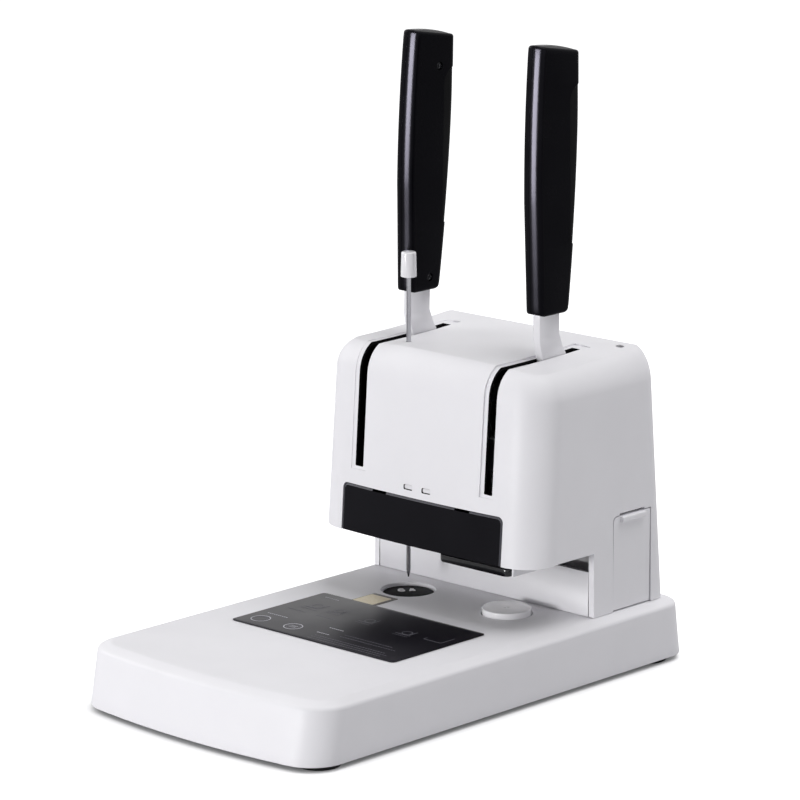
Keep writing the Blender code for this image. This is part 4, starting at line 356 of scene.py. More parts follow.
def addLoft(shape, rings, tones=None, strips=False):
    # skins a row of equal rings and caps both ends, with one face or with strips across
    rows = [[shape.verts.new([c * mm for c in point]) for point in ring] for ring in rings]
    count = len(rows[0])
    for number, (low, high) in enumerate(zip(rows, rows[1:])):
        for i in range(count):
            k = (i + 1) % count
            face = shape.faces.new((low[i], low[k], high[k], high[i]))
            face.material_index = tones(number, i) if tones else 0
    for number, row in ((0, rows[0]), (len(rows) - 1, rows[-1])):
        parts = [row]
        if strips:
            parts = [(row[i], row[i + 1], row[-2 - i], row[-1 - i]) for i in range(count // 2 - 1)]
        for part in parts:
            face = shape.faces.new(part)
            face.material_index = tones(number, 0) if tones else 0
    return shape


def swap(axis, along, first, second):
    return {"x": (along, first, second), "y": (first, along, second), "z": (first, second, along)}[axis]


def prism(outline, axis, low, high, shape=None):
    # a new shape, or one more prism in the shape given
    rings = [[swap(axis, end, a, b) for a, b in outline] for end in (low, high)]
    return addLoft(shape or bmesh.new(), rings)


def box(low, high, shape=None):
    return prism(rectangle(*low[:2], *high[:2]), "z", low[2], high[2], shape)


def turned(profile, axis, centre, steps, shape=None):
    # turns a closed profile of (radius, along); points on the axis are shared
    shape = shape or bmesh.new()
    rings = []
    for radius, along in profile:
        if radius == 0:
            rings.append([shape.verts.new([c * mm for c in swap(axis, along, *centre)])])
        else:
            points = arc(centre[0], centre[1], radius, 0, 360 - 360 / steps, steps - 1)
            rings.append([shape.verts.new([c * mm for c in swap(axis, along, a, b)]) for a, b in points])
    for low, high in zip(rings, rings[1:] + rings[:1]):
        if len(low) == len(high) == 1:
            continue
        for i in range(steps):
            k = (i + 1) % steps
            if len(low) == 1:
                corners = (low[0], high[k], high[i])
            elif len(high) == 1:
                corners = (low[i], low[k], high[0])
            else:
                corners = (low[i], low[k], high[k], high[i])
            shape.faces.new(corners)
    return shape


def makePiece(name, shape, finish=(), body=None, slot=None, stands=(), sharp=35):
    # a mesh object from a bmesh; without a body it is only a cutter
    bmesh.ops.recalc_face_normals(shape, faces=shape.faces)
    mesh = bpy.data.meshes.new(name)
    shape.to_mesh(mesh)
    shape.free()
    mesh.shade_smooth()
    mesh.set_sharp_from_angle(angle=math.radians(sharp))
    piece = bpy.data.objects.new(name, mesh)
    bpy.context.scene.collection.objects.link(piece)
    for surface in [finish] if isinstance(finish, str) else finish:
        mesh.materials.append(finishes[surface])
    if body:
        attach(piece, body)
    if stands:
        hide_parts(*stands)
    return piece


def cut(piece, shape, how="DIFFERENCE", tone=0):
    # applies a Boolean at once, so no cutter stays; tone is the finish of the cut walls
    tool = makePiece("cutter", shape)
    for face in tool.data.polygons:
        face.material_index = tone
    step = piece.modifiers.new("cut", "BOOLEAN")
    step.operation = how
    step.solver = "EXACT"
    step.object = tool
    graph = bpy.context.evaluated_depsgraph_get()
    done = bpy.data.meshes.new_from_object(piece.evaluated_get(graph))
    piece.modifiers.remove(step)
    old = piece.data
    piece.data = done
    bpy.data.meshes.remove(old)
    bpy.data.meshes.remove(tool.data)


def cutPrism(piece, outline, axis, low, high, tone=0):
    cut(piece, prism(outline, axis, low, high), tone=tone)


def cutHole(piece, radius, centre, low, high, steps, tone=0):
    # a round hole along Z
    cut(piece, turned(rectangle(0, low, radius, high), "z", centre, steps), tone=tone)


def soften(piece, width, segments=2, angle=32, tone=-1):
    # small radius in mm on every sharp edge, which catches the light
    edge = piece.modifiers.new("edges", "BEVEL")
    edge.width = width * mm
    edge.segments = segments
    edge.limit_method = "ANGLE"
    edge.angle_limit = math.radians(angle)
    edge.use_clamp_overlap = True
    edge.harden_normals = True
    edge.material = tone
    piece.data.shade_smooth()


deckZ = 44.4
drillAxis = (-39.9, 64.4)
rivetAxis = (48.9, 66.65)

housing = {
    "sideX": 101.6, "sideDraft": 0.0133,
    "rearY": 174.0, "rearSlope": 0.0722,
    "frontY": 30.2, "frontSlope": 0.0668, "sag": 2.4, "sagHalf": 73.2,
    "footZ": 44.7, "lowZ": 87.7, "sideLowZ": 89.4, "columnY": 95.7,
    "throatStep": (60.2, 43.2),    # x where the throat's ceiling steps down
    "frontCorner": 26, "rearCorner": 12, "leastCorner": 3,
    "rollStart": 198.6, "rollFront": 20, "rollRear": 9,
    "rollEnd": 68,    # degrees, short of level, which leaves the soft crease
    "topZ": 218.6, "riseY": 52, "riseRun": 123.4, "rise": 6.1, "crown": 1.8,
    "levels": 14,    # up the face, and over the roll
    "topShares": (0.985, 0.96, 0.92, 0.85, 0.76, 0.65, 0.52, 0.38, 0.22, 0.06),
    "sideWall": 4.4, "faceWall": 3.0,
    "needleHole": 1.95, "needleCut": (190, 240),
    "screwHole": 2.9, "screwAt": (78.6, 147), "screwCut": (205, 240),
    "fittings": ((-52, 27.6, 20), (-12, 13, 19)),    # at the rear: x, width, height
    "fittingZ": 74.0, "fittingGap": 0.3,
    "edge": 0.45,
}
slots = {
    "x": 59.17, "width": 7.3, "corner": 0.8, "footZ": 134.0, "rearY": 124.2,
    "rebate": 3.4, "rebateDepth": 0.8, "rebateFoot": 2.2, "rebateTail": 7,
    "faceZs": (150, 166, 182, 196), "topYs": (56, 64, 74, 86, 100, 114),    # of its sweep
}
far = 300    # mm, past everything


def halfAt(z):
    return housing["sideX"] - housing["sideDraft"] * (z - deckZ)


def rearAt(z):
    return housing["rearY"] - housing["rearSlope"] * (z - deckZ)


def faceY(x, z):
    look = housing
    lean = look["frontSlope"] * (z - look["lowZ"])
    return look["frontY"] + lean + look["sag"] * (x / look["sagHalf"]) ** 2


def topAt(x, y):
    look = housing
    along = max(0.0, y - look["riseY"]) / look["riseRun"]
    return look["topZ"] + look["rise"] * along ** 2 + look["crown"] * (1 - (x / slots["x"]) ** 2)


cornerSteps = 14    # of each rounded corner in plan


def bowedOutline(half, front, rear, frontCorner, rearCorner, bow, bowSteps, sideSteps):
    # plan view: the front corners run into the bowed front without a kink
    reach = half - frontCorner
    for _ in range(4):
        lean = math.atan(2 * bow * reach)
        reach = half - frontCorner + frontCorner * math.sin(lean)
    centreX = half - frontCorner
    centreY = front + bow * reach ** 2 + frontCorner * math.cos(lean)
    turn = math.degrees(lean)
    points = arc(half - rearCorner, rear - rearCorner, rearCorner, 0, 90, cornerSteps)
    points += arc(rearCorner - half, rear - rearCorner, rearCorner, 90, 180, cornerSteps)
    run = centreY - rear + rearCorner
    sideYs = [rear - rearCorner + run * i / sideSteps for i in range(1, sideSteps)]
    points += [(-half, y) for y in sideYs]
    points += arc(-centreX, centreY, frontCorner, 180, 270 - turn, cornerSteps)
    for i in range(1, bowSteps):
        x = -reach + 2 * reach * i / bowSteps
        points.append((x, front + bow * x ** 2))
    points += arc(centreX, centreY, frontCorner, 270 + turn, 360, cornerSteps)
    return points + [(half, y) for y in reversed(sideYs)]


def housingOutline(z, side, front, rear):
    look = housing
    return bowedOutline(
        halfAt(z) - side,
        look["frontY"] + look["frontSlope"] * (z - look["lowZ"]) + front,
        rearAt(z) - rear,
        look["frontCorner"] - (side + front) / 2,
        max(look["leastCorner"], look["rearCorner"] - (side + rear) / 2),
        look["sag"] / look["sagHalf"] ** 2,
        24, 12,
    )


def rollShares(steps):
    # (share inwards, share upwards) along the roll from the face to the top
    lean, end = math.atan(housing["frontSlope"]), math.radians(housing["rollEnd"])
    wide, tall = math.cos(lean) - math.cos(end), math.sin(end) - math.sin(lean)
    for i in range(1, steps + 1):
        angle = lean + (end - lean) * i / steps
        inward = (math.cos(lean) - math.cos(angle)) / wide * (1 - math.cos(end))
        yield inward, (math.sin(angle) - math.sin(lean)) / tall


def housingSkin(side, face):
    # surface as rings, set in by the two walls
    look = housing
    low, start, levels = look["footZ"], look["rollStart"], look["levels"]
    heights = [low + (start - low) * i / levels for i in range(levels + 1)]
    rings = [[(x, y, z) for x, y in housingOutline(z, side, face, face)] for z in heights]
    for inward, upward in rollShares(levels):
        outline = housingOutline(
            start,
            side + (look["rollFront"] - side) * inward,
            face + (look["rollFront"] - face) * inward,
            face + (look["rollRear"] - face) * inward,
        )
        rings.append([(x, y, start + (topAt(x, y) - face - start) * upward) for x, y in outline])
    last = rings[-1]
    middle = sum(y for _, y, _ in last) / len(last)
    for share in look["topShares"]:
        spots = [(x * share, middle + (y - middle) * share) for x, y, _ in last]
        rings.append([(x, y, topAt(x, y) - face) for x, y in spots])
    return rings


def rebate(x):
    # shallow step round a slot, swept up the face and back along the top
    look = housing
    points = [(faceY(x, z), z) for z in (slots["footZ"] - slots["rebateFoot"], *slots["faceZs"])]
    for inward, upward in rollShares(12):
        y = faceY(x, look["rollStart"]) + inward * look["rollFront"]
        points.append((y, look["rollStart"] + (topAt(x, y) - look["rollStart"]) * upward))
    points += [(y, topAt(x, y)) for y in (*slots["topYs"], slots["rearY"] + slots["rebateTail"])]
    half = slots["width"] / 2 + slots["rebate"]
    rings = []
    for i, (y, z) in enumerate(points):
        before, after = points[max(0, i - 1)], points[min(len(points) - 1, i + 1)]
        run = Vector((after[0] - before[0], after[1] - before[1])).normalized()
        out = Vector((-run[1], run[0]))
        low = (y - out[0] * slots["rebateDepth"], z - out[1] * slots["rebateDepth"])
        high = (y + out[0] * 2, z + out[1] * 2)
        rings.append([(x - half, *low), (x + half, *low), (x + half, *high), (x - half, *high)])
    return addLoft(bmesh.new(), rings)


window = {
    "half": 73.2, "lowZ": 88.0, "topZ": 120.9, "corner": 4, "thickness": 2.2, "gap": 0.3,
    "chamferInset": 1.5, "chamferDepth": 0.9,    # chamfer along the top and sides, pale with painted highlight
    "clips": (-38.1, 37.8), "clipWidth": 13.0, "clipDepth": 1.7,
    "cutLow": 60, "cutDeep": 60, "cutHigh": 140,
    "edge": 0.15,
}


def windowTop(inset):
    # upper edge from its left end to its right end, as (x, z)
    half, top = window["half"] - inset, window["topZ"] - inset
    corner = window["corner"] - inset / 2
    left = arc(corner - half, top - corner, corner, 180, 90, 8)
    middle = [(-half + corner + 2 * (half - corner) * i / 40, top) for i in range(1, 40)]
    return left + middle + [(-x, z) for x, z in reversed(left)]


lenses = {
    "left": -11.2, "right": 5.4, "z": 127.8, "width": 7.6, "height": 3.0, "corner": 1.0,
    "inset": 0.7, "thickness": 2.2, "gap": 0.3, "slack": 0.05, "edge": 0.25,
}


def lensOutline(x, gap):
    wide, tall = lenses["width"] / 2 + gap, lenses["height"] / 2 + gap
    return roundedBox(x - wide, lenses["z"] - tall, x + wide, lenses["z"] + tall, lenses["corner"], 4)


drawer = {
    "frontY": 116.2, "rearY": 155.2, "topZ": 110.6, "footZ": 40, "corner": 4,
    "gap": 0.5, "seam": 0.35, "lowGap": 0.9, "depth": 57, "wall": 2, "lap": 0.5,
    "pullSide": 7.0, "pullHeight": 4.6, "pullReach": 2.6, "pullRoot": 1.5, "pullRound": 1.1,
    # finger scoop over the pull
    "scoopDepth": 2.6, "scoopZs": (104.6, 111.1, 122.6), "scoopOut": 20, "scoopSide": 6.5,
}


def drawerOutline(gap):
    look = drawer
    front, rear, top = look["frontY"] - gap, look["rearY"] + gap, look["topZ"] + gap
    corner, low = look["corner"], look["footZ"]
    return [(front, low), (rear, low), (rear, top)] + arc(front + corner, top - corner, corner, 90, 180, 8)


def makeHousing():
    # column and head in one moulding
    look = housing
    inner, outer = housingSkin(look["sideWall"], look["faceWall"]), housingSkin(0, 0)
    # the inner skin takes the painted shade, standing in for the shade inside the head
    shape = addLoft(bmesh.new(), inner[::-1] + outer, lambda ring, _: 1 if ring < len(inner) - 1 else 0)
    surfaces = ("mouldedAbs", "paintedShadeBlack")
    piece = makePiece("housing", shape, surfaces, "machine", "white_plastic", ("housing_shell",))
    rear, high, low = look["columnY"], look["sideLowZ"], look["lowZ"]
    start, end = look["throatStep"]
    throat = [(-far, 0), (rear, 0), (rear, high), (start, high), (end, low), (-far, low)]
    cutPrism(piece, throat, "x", -far, far)
    for x in (-slots["x"], slots["x"]):
        cut(piece, rebate(x))
        left = x - slots["width"] / 2
        slot = roundedBox(left, slots["footZ"], left + slots["width"], 260, slots["corner"], 3)
        # the slot walls take the painted shade
        cutPrism(piece, slot, "y", 0, slots["rearY"], tone=1)
    opening = windowTop(-window["gap"])
    opening += [(opening[-1][0], window["cutLow"]), (opening[0][0], window["cutLow"])]
    cutPrism(piece, opening, "y", 0, window["cutDeep"])
    for x in (lenses["left"], lenses["right"]):
        # the walls round each lens take the painted shade, standing in for the shade in the gap
        cutPrism(piece, lensOutline(x, lenses["gap"]), "y", 0, window["cutDeep"], tone=1)
    cutPrism(piece, drawerOutline(drawer["gap"]), "x", 80, 140)
    face = halfAt(drawer["topZ"])
    deep, shallow = face - drawer["scoopDepth"], face + drawer["scoopOut"]
    low, middle, high = drawer["scoopZs"]
    scoop = [(deep, low), (shallow, low), (shallow, high), (deep, middle)]
    side = drawer["scoopSide"]
    cutPrism(piece, scoop, "y", drawer["frontY"] + side, drawer["rearY"] - side)
    # the needle hole's wall takes the painted shade
    cutHole(piece, look["needleHole"], drillAxis, *look["needleCut"], 32, 1)
    cutHole(piece, look["screwHole"], look["screwAt"], *look["screwCut"], 32)
    for x, width, height in look["fittings"]:
        wide, tall = width / 2 + look["fittingGap"], height / 2 + look["fittingGap"]
        fitting = rectangle(x - wide, look["fittingZ"] - tall, x + wide, look["fittingZ"] + tall)
        cutPrism(piece, fitting, "y", 150, 200)
    soften(piece, look["edge"])


def makeWindow():
    # smoked guard, bowed like the face, with a chamfer in pale painted highlight and two clip notches
    look = window
    rings = []
    for inset, depth in ((look["chamferInset"], 0), (0, look["chamferDepth"]), (0, look["thickness"])):
        top = windowTop(inset)
        low = [(x, faceY(x, look["lowZ"]) + depth, look["lowZ"]) for x, _ in top]
        rings.append(low + [(x, faceY(x, z) + depth, z) for x, z in reversed(top)])
    ends = len(rings[0]) // 2 - 1
    # the chamfer's faces take the painted highlight
    shape = addLoft(bmesh.new(), rings, lambda ring, i: 1 if ring == 0 and i >= ends else 0, strips=True)
    surfaces = ("smokedPolycarbonate", "paintedHighlightPolycarbonate")
    piece = makePiece("windowGuard", shape, surfaces, "machine", "smoked_plastic", ("window_guard",), 20)
    reach, low = look["clipWidth"] / 2, look["topZ"] - look["clipDepth"]
    for x in look["clips"]:
        notch = rectangle(x - reach, low, x + reach, look["cutHigh"])
        cutPrism(piece, notch, "y", 0, look["cutDeep"])
    soften(piece, look["edge"])


def makeLenses():
    look = lenses
    for side in ("left", "right"):
        x = look[side]
        front = faceY(x, look["z"]) + look["inset"]
        shape = prism(lensOutline(x, -look["slack"]), "y", front, front + look["thickness"])
        node = "indicator_lens_" + side
        piece = makePiece(side + "Lens", shape, "glossWhiteAbs", "machine", "lens", (node,))
        soften(piece, look["edge"])


def makeDrawer():
    # waste bin: front plate, open box behind it and a pull along its top
    look, white = drawer, ("mouldedAbs", "drawer", "white_plastic")
    top, gap = look["topZ"], look["gap"]
    face = halfAt(top)
    inner, back = face - housing["sideWall"], face - look["depth"]
    low, wall = deckZ + look["lowGap"], look["wall"]
    front = [(y, max(z, low)) for y, z in drawerOutline(-look["seam"])]
    piece = makePiece("drawerFront", prism(front, "x", inner, face), *white, ("side_drawer",))
    soften(piece, 0.35)

    near, rear = look["frontY"] + gap, look["rearY"] - gap
    shape = box((back, near, low), (inner + look["lap"], rear, top - look["corner"]))
    piece = makePiece("drawerBin", shape, *white)
    cut(piece, box((back + wall, near + wall, low + wall), (inner - wall, rear - wall, 140)))
    soften(piece, 0.3)

    outline = roundedBox(face - look["pullRoot"], top - look["pullHeight"],
                         face + look["pullReach"], top - look["lap"], look["pullRound"], 5)
    side = look["pullSide"]
    piece = makePiece("drawerPull", prism(outline, "y", look["frontY"] + side, look["rearY"] - side), *white)
    soften(piece, 0.5, 3, 60)


makeHousing()
makeWindow()
makeLenses()
makeDrawer()
print("housing, window, lenses and drawer made")

base = {
    "half": 110.0, "flare": 0.5, "front": -190.0, "frontLean": 7.2, "rear": 190.0, "rearLean": 6.0,
    "sag": 9.4, "frontCorner": 26, "rearCorner": 20,
    "footZ": 3.5, "rimZ": 41.0, "rimWidth": 8.6, "wall": 2.6,
    "rimRound": 2.2, "deckRound": 1.6, "footRound": 0.8,
    "footLip": ((0.6, 0.0), (0.15, 0.25)),    # inset and height
    "underInset": 3, "deckInsets": (14, 20),
    "padHole": 19.1, "capHole": 17.8, "opening": (-78, 108, 38.5, 160), "cutZs": (30, 60),
    "edge": 0.4,
}


def baseOutline(inset, share):
    look = base
    return bowedOutline(
        look["half"] + look["flare"] * share - inset,
        look["front"] + look["frontLean"] * share + inset,
        look["rear"] - look["rearLean"] * share - inset,
        look["frontCorner"] - inset,
        look["rearCorner"] - inset,
        look["sag"] / look["half"] ** 2,
        30, 14,
    )


def rounded(low, peak, high, steps):
    # soft corner between two points, pulled towards a third
    points = []
    for i in range(steps + 1):
        s, r = i / steps, 1 - i / steps
        points.append([r ** 2 * a + 2 * s * r * b + s ** 2 * c for a, b, c in zip(low, peak, high)])
    return points


def baseSection():
    # (inset, height) up the skirt, round its rim and over the chamfer onto the deck
    look = base
    foot, rim, wide = look["footZ"], look["rimZ"], look["rimWidth"]
    points = [(inset, foot + up) for inset, up in (*look["footLip"], (0, look["footRound"]))]
    points += [(0, foot + (rim - foot) * i / 6) for i in range(1, 6)]
    slope = math.atan2(deckZ - rim, wide)
    along, up = math.cos(slope), math.sin(slope)
    reach = look["rimRound"]
    points += rounded((0, rim - reach), (0, rim), (reach * along, rim + reach * up), 6)
    points.append((wide / 2, (rim + deckZ) / 2))
    reach = look["deckRound"]
    low = (wide - reach * along, deckZ - reach * up)
    return points + rounded(low, (wide, deckZ), (wide + reach, deckZ), 4)


def makeBase():
    # from the deck's underside down inside the skirt, then up outside it
    look = base
    foot, rim, wall = look["footZ"], look["rimZ"], look["wall"]
    levels = [(look["rimWidth"] + look["underInset"], deckZ - wall, 1.0), (wall, rim - wall / 2, 1.0),
              (wall, foot, 0.0)]
    levels += [(inset, z, min(1.0, (z - foot) / (rim - foot))) for inset, z in baseSection()]
    levels += [(inset, deckZ, 1.0) for inset in look["deckInsets"]]
    rings = [[(x, y, z) for x, y in baseOutline(inset, share)] for inset, z, share in levels]
    shape = addLoft(bmesh.new(), rings)
    piece = makePiece("baseMoulding", shape, "mouldedAbs", "machine", "white_plastic", ("base_shell",))
    cutHole(piece, look["padHole"], drillAxis, *look["cutZs"], 96)
    cutHole(piece, look["capHole"], rivetAxis, *look["cutZs"], 96)
    cutPrism(piece, rectangle(*look["opening"]), "z", *look["cutZs"])
    soften(piece, look["edge"])


makeBase()
print("base made")

grip = {
    "barX": 59.17, "barY": 93.4,
    "lowZ": 250.0, "topZ": 430.0, "slope": 6.1, "bulge": 2.6, "dome": 1.5, "levels": 36,
    "lowScales": (0.3, 0.65, 0.9), "topScales": (0.94, 0.85, 0.7, 0.5, 0.28, 0.1),    # of the ends
    "topReach": 20, "topFacing": 0.94,    # faces of the polished top
    "thickness": 14.5, "corner": 6.0, "rim": 2.0, "seam": 0.3,
    # front edge ahead of the bar's middle, and rear edge behind it
    "lowFront": 15.5, "midFront": 17.5, "topFront": 12.4, "belly": 0.42,
    "lowRear": 17.8, "topRear": 29.0, "ease": 0.8, "easePower": 1.6,
    "lean": math.radians(0.88), "leanFrom": 234.0,    # towards the middle of the machine
    "tangHalf": 10.4, "tangReach": 3.3, "tangTop": 396.3,
    "inlayFront": 16.6, "inlayLow": 294.0, "inlayTop": 402.0, "inlayCorner": 12.0, "inlayDrop": 0.5,
    "inlayGap": 0.3, "inlayEdge": 0.45,
    "screws": {"low": (98.3, 257.8), "top": (105.4, 403.5)},
    "screwRadius": 2.6, "screwDepth": 2.6, "screwGap": 0.3, "screwTall": 1.6,
    "edge": 0.35, "beyond": 20,    # how far its cutters run past it
}


def gripFront(share):
    look = grip
    if share <= look["belly"]:
        reach = look["lowFront"] + (look["midFront"] - look["lowFront"]) * share / look["belly"]
    else:
        rise = (share - look["belly"]) / (1 - look["belly"])
        reach = look["midFront"] + (look["topFront"] - look["midFront"]) * rise ** 2
    return look["barY"] - reach


def gripRear(share):
    look = grip
    eased = 1 - (1 - min(1.0, share / look["ease"])) ** look["easePower"]
    return look["barY"] + look["lowRear"] + (look["topRear"] - look["lowRear"]) * eased


def gripRing(side, share, inset, lift, shrink, scale=1.0):
    # one level; scale draws it in towards its middle, for the domed ends
    look = grip
    half = look["thickness"] / 2 - shrink
    front, rear = gripFront(share) + shrink + inset, gripRear(share) - shrink - inset
    corner = look["corner"] - shrink - inset / 2
    middle, reach = (front + rear) / 2, (rear - front) / 2
    centre = side * look["barX"]
    ring = []
    for x, y in roundedBox(centre - half + inset, front, centre + half - inset, rear, corner, 9):
        x, y = centre + (x - centre) * scale, middle + (y - middle) * scale
        across = (y - middle) / reach
        low = look["lowZ"] - look["bulge"] * (1 - across ** 2) + shrink
        high = look["topZ"] - look["slope"] * (1 + across) / 2 - shrink
        dome = look["dome"] * (1 - scale ** 2) if share == 1 else 0
        ring.append((x, y, low + (high - low) * share + lift + dome))
    return ring


def leanIn(shape, side):
    for vert in shape.verts:
        vert.co.x -= side * (vert.co.z - grip["leanFrom"] * mm) * math.tan(grip["lean"])
    return shape


def gripBody(side, shrink):
    # lower end, its rounded rim, the shank, the upper rim and the top
    look = grip
    rim, levels = look["rim"], look["levels"]
    bends = [(rim * (1 - s), rim * (1 - c)) for c, s in arc(0, 0, 1, 0, 90, 6)]
    rings = [gripRing(side, 0, rim, 0, shrink, scale) for scale in look["lowScales"]]
    rings += [gripRing(side, 0, inset, lift, shrink) for inset, lift in bends]
    rings += [gripRing(side, i / levels, 0, 0, shrink) for i in range(1, levels)]
    rings += [gripRing(side, 1, inset, -lift, shrink) for inset, lift in reversed(bends)]
    rings += [gripRing(side, 1, rim, 0, shrink, scale) for scale in look["topScales"]]
    return leanIn(addLoft(bmesh.new(), rings), side)


def gripCut(piece, side, outline, low, high, how="DIFFERENCE"):
    cut(piece, leanIn(prism(outline, "x", low, high), side), how)


def inlayOutline(gap):
    # large radius at its upper front corner, a small one at the lower
    look = grip
    front = look["barY"] + look["inlayFront"] + gap
    low, high, corner = look["inlayLow"] + gap, look["inlayTop"] - gap, look["inlayCorner"]
    points = [(180, low), (180, high)] + arc(front + corner, high - corner, corner, 90, 180, 12)
    return points + arc(front + corner / 3, low + corner / 3, corner / 3, 180, 270, 8)


screwHead = {
    # shares of the radius: rim's rounding, and the recess's length, width and corner
    "round": 0.25, "length": 0.62, "width": 0.13, "corner": 0.05,
    "depth": 0.6, "edge": 0.1,    # the recess's depth is a share of the height
}


def makeScrew(name, axis, centre, low, high, radius, finish, body, slot, stands=(), shift=0.0):
    # pan head with a cross recess; it faces the way from low to high
    look = screwHead
    towards = 1 if high > low else -1
    bend = radius * look["round"]
    profile = [(0, low), (radius, low), (radius, high - towards * bend),
               (radius - bend * 0.3, high - towards * bend * 0.3), (radius - bend, high), (0, high)]
    piece = makePiece(name, turned(profile, axis, centre, 40), finish, body, slot, stands)
    a, b = centre
    long, thin = radius * look["length"], radius * look["width"]
    floor = high - towards * abs(high - low) * look["depth"]
    for wide, tall in ((long, thin), (thin, long)):
        outline = roundedBox(a - wide, b - tall, a + wide, b + tall, radius * look["corner"], 1)
        cutPrism(piece, outline, axis, floor, high + towards)
    for vert in piece.data.vertices:
        vert.co.x += shift * mm
    soften(piece, look["edge"])


def makeGrip(lever, side):
    # two screwed halves with a seam between, and the soft inlay at their back
    look = grip
    body = lever + "_lever"
    centre = side * look["barX"]
    wide = look["thickness"] + look["beyond"]
    front, rear = look["barY"] - look["tangHalf"], look["barY"] + look["tangHalf"]
    tang = rectangle(front, 200, rear, look["tangTop"])
    for half, direction in (("Inner", -side), ("Outer", side)):
        node = lever + "_grip_" + half.lower()
        piece = makePiece(lever + "Grip" + half, gripBody(side, 0), ("satinBlackAbs", "polishedBlackAbs"),
                          body, "black_plastic", (node,), 50)
        ends = sorted((centre + direction * look["seam"] / 2, centre + direction * wide))
        gripCut(piece, side, rectangle(0, 200, 200, 500), *ends, "INTERSECT")
        gripCut(piece, side, tang, centre - look["tangReach"], centre + look["tangReach"])
        gripCut(piece, side, inlayOutline(0), centre - wide, centre + wide)
        if half == "Inner":
            face = centre - side * look["thickness"] / 2
            profile = rectangle(0, face - side * look["beyond"],
                                look["screwRadius"] + look["screwGap"], face + side * look["screwDepth"])
            for spot in look["screws"].values():
                cut(piece, leanIn(turned(profile, "x", spot, 40), side))
        for face in piece.data.polygons:
            high = face.center.z > (look["topZ"] - look["topReach"]) * mm
            if high and face.normal.z > look["topFacing"]:
                face.material_index = 1
        soften(piece, look["edge"], 2, 40)
    inlay = makePiece(lever + "GripInlay", gripBody(side, look["inlayDrop"]), ("softTpe", "paintedGlintTpe"), body,
                      "soft_black", (lever + "_grip_inlay",), 50)
    gripCut(inlay, side, inlayOutline(look["inlayGap"]), centre - wide, centre + wide, "INTERSECT")
    # the inlay's bevelled rim takes the painted highlight
    soften(inlay, look["inlayEdge"], 2, 40, 1)
    seat = centre - side * (look["thickness"] / 2 - look["screwDepth"] + look["screwGap"])
    for place, spot in look["screws"].items():
        shift = -side * (spot[1] - look["leanFrom"]) * math.tan(look["lean"])
        makeScrew(lever + "GripScrew" + place.title(), "x", spot, seat, seat - side * look["screwTall"],
                  look["screwRadius"], "blackOxideSteel", body, "dark_steel",
                  (lever + "_grip_screw_" + place,), shift)


def lightGrips():
    # the strip lamp shows only as the grips' highlight
    glossy = bpy.data.collections.new("grips")
    for held in bpy.context.scene.objects:
        if "Grip" in held.name and held.type == "MESH":
            glossy.objects.link(held)
    lamps["gripStrip"].light_linking.receiver_collection = glossy
    lamps["gripStrip"].visible_diffuse = False


makeGrip("punch", -1)
makeGrip("rivet", 1)
lightGrips()
print("grips made")


def socket(radius, low, depth):
    # start of a turned profile: a blind bore from below
    return [(0, low + depth), (radius, low + depth), (radius, low)]


cap = {
    "radius": 16.9, "topZ": 48.4, "lowZ": 36.4, "round": 0.9, "socket": 10.3, "socketDepth": 6.0,
    "middle": ((3.0, 0.05), (0.9, 0.05), (0.5, 0.35), (0, 0.35)),    # radius and depth of the gate mark
}


def makeCap():
    look = cap
    low, high, bend = look["lowZ"], look["topZ"], look["round"]
    profile = socket(look["socket"], low, look["socketDepth"]) + [(look["radius"], low)]
    profile += arc(look["radius"] - bend, high - bend, bend, 0, 90, 6)
    profile += [(radius, high - depth) for radius, depth in look["middle"]]
    shape = turned(profile, "z", rivetAxis, 128)
    piece = makePiece("anvilCap", shape, "glossWhiteAbs", "machine", "white_plastic", ("anvil_cap",), 60)
    soften(piece, 0.15, 2, 50)


knob = {
    "lowZ": 264.7, "topZ": 282.3, "lowRadius": 5.5, "topRadius": 5.1, "lowRound": 0.6, "round": 1.3,
    "crown": 0.2, "bore": 1.6, "boreDepth": 10,
}


def makeKnob():
    look = knob
    low, small, bend = look["lowZ"], look["lowRound"], look["round"]
    profile = socket(look["bore"], low, look["boreDepth"])
    profile += arc(look["lowRadius"] - small, low + small, small, -90, 0, 4)
    profile += arc(look["topRadius"] - bend, look["topZ"] - look["crown"] - bend, bend, 0, 84, 7)
    profile.append((0, look["topZ"]))
    shape = turned(profile, "z", drillAxis, 64)
    makePiece("needleKnob", shape, "glossWhiteAbs", "needle", "white_plastic", ("needle_knob",), 60)


pad = {
    # x, y, radius, and the degrees where each starts and ends
    "scars": ((-47.0, 65.0, 2.3, 90, 400), (-43.6, 69.6, 1.7, -60, 130), (-41.2, 72.0, 1.6, 150, 340)),
    "topZ": 42.0, "width": 1.2, "height": 0.9, "root": 0.2,
    "ridge": 0.4, "tail": 0.25,    # shares at the ridge and at the ends
    "stepTurn": 15,                # degrees
}


def makePadScars():
    # raised rims that the hollow drill leaves in the pad
    look = pad
    shape = bmesh.new()
    for x, y, radius, start, end in look["scars"]:
        steps = max(6, int((end - start) / look["stepTurn"]))
        rings = []
        for i, (c, s) in enumerate(arc(0, 0, 1, start, end, steps)):
            thin = look["tail"] if i in (0, steps) else 1.0
            half, high = look["width"] / 2 * thin, look["height"] * thin
            section = rectangle(-half, -look["root"], half, high)
            section[2:] = [(across * look["ridge"], up) for across, up in section[2:]]
            rings.append([(x + c * (radius + r), y + s * (radius + r), look["topZ"] + up)
                          for r, up in section])
        addLoft(shape, rings)
    makePiece("padScars", shape, "scoredPe", "pad", "black_plastic")


makeCap()
makeKnob()
makePadScars()

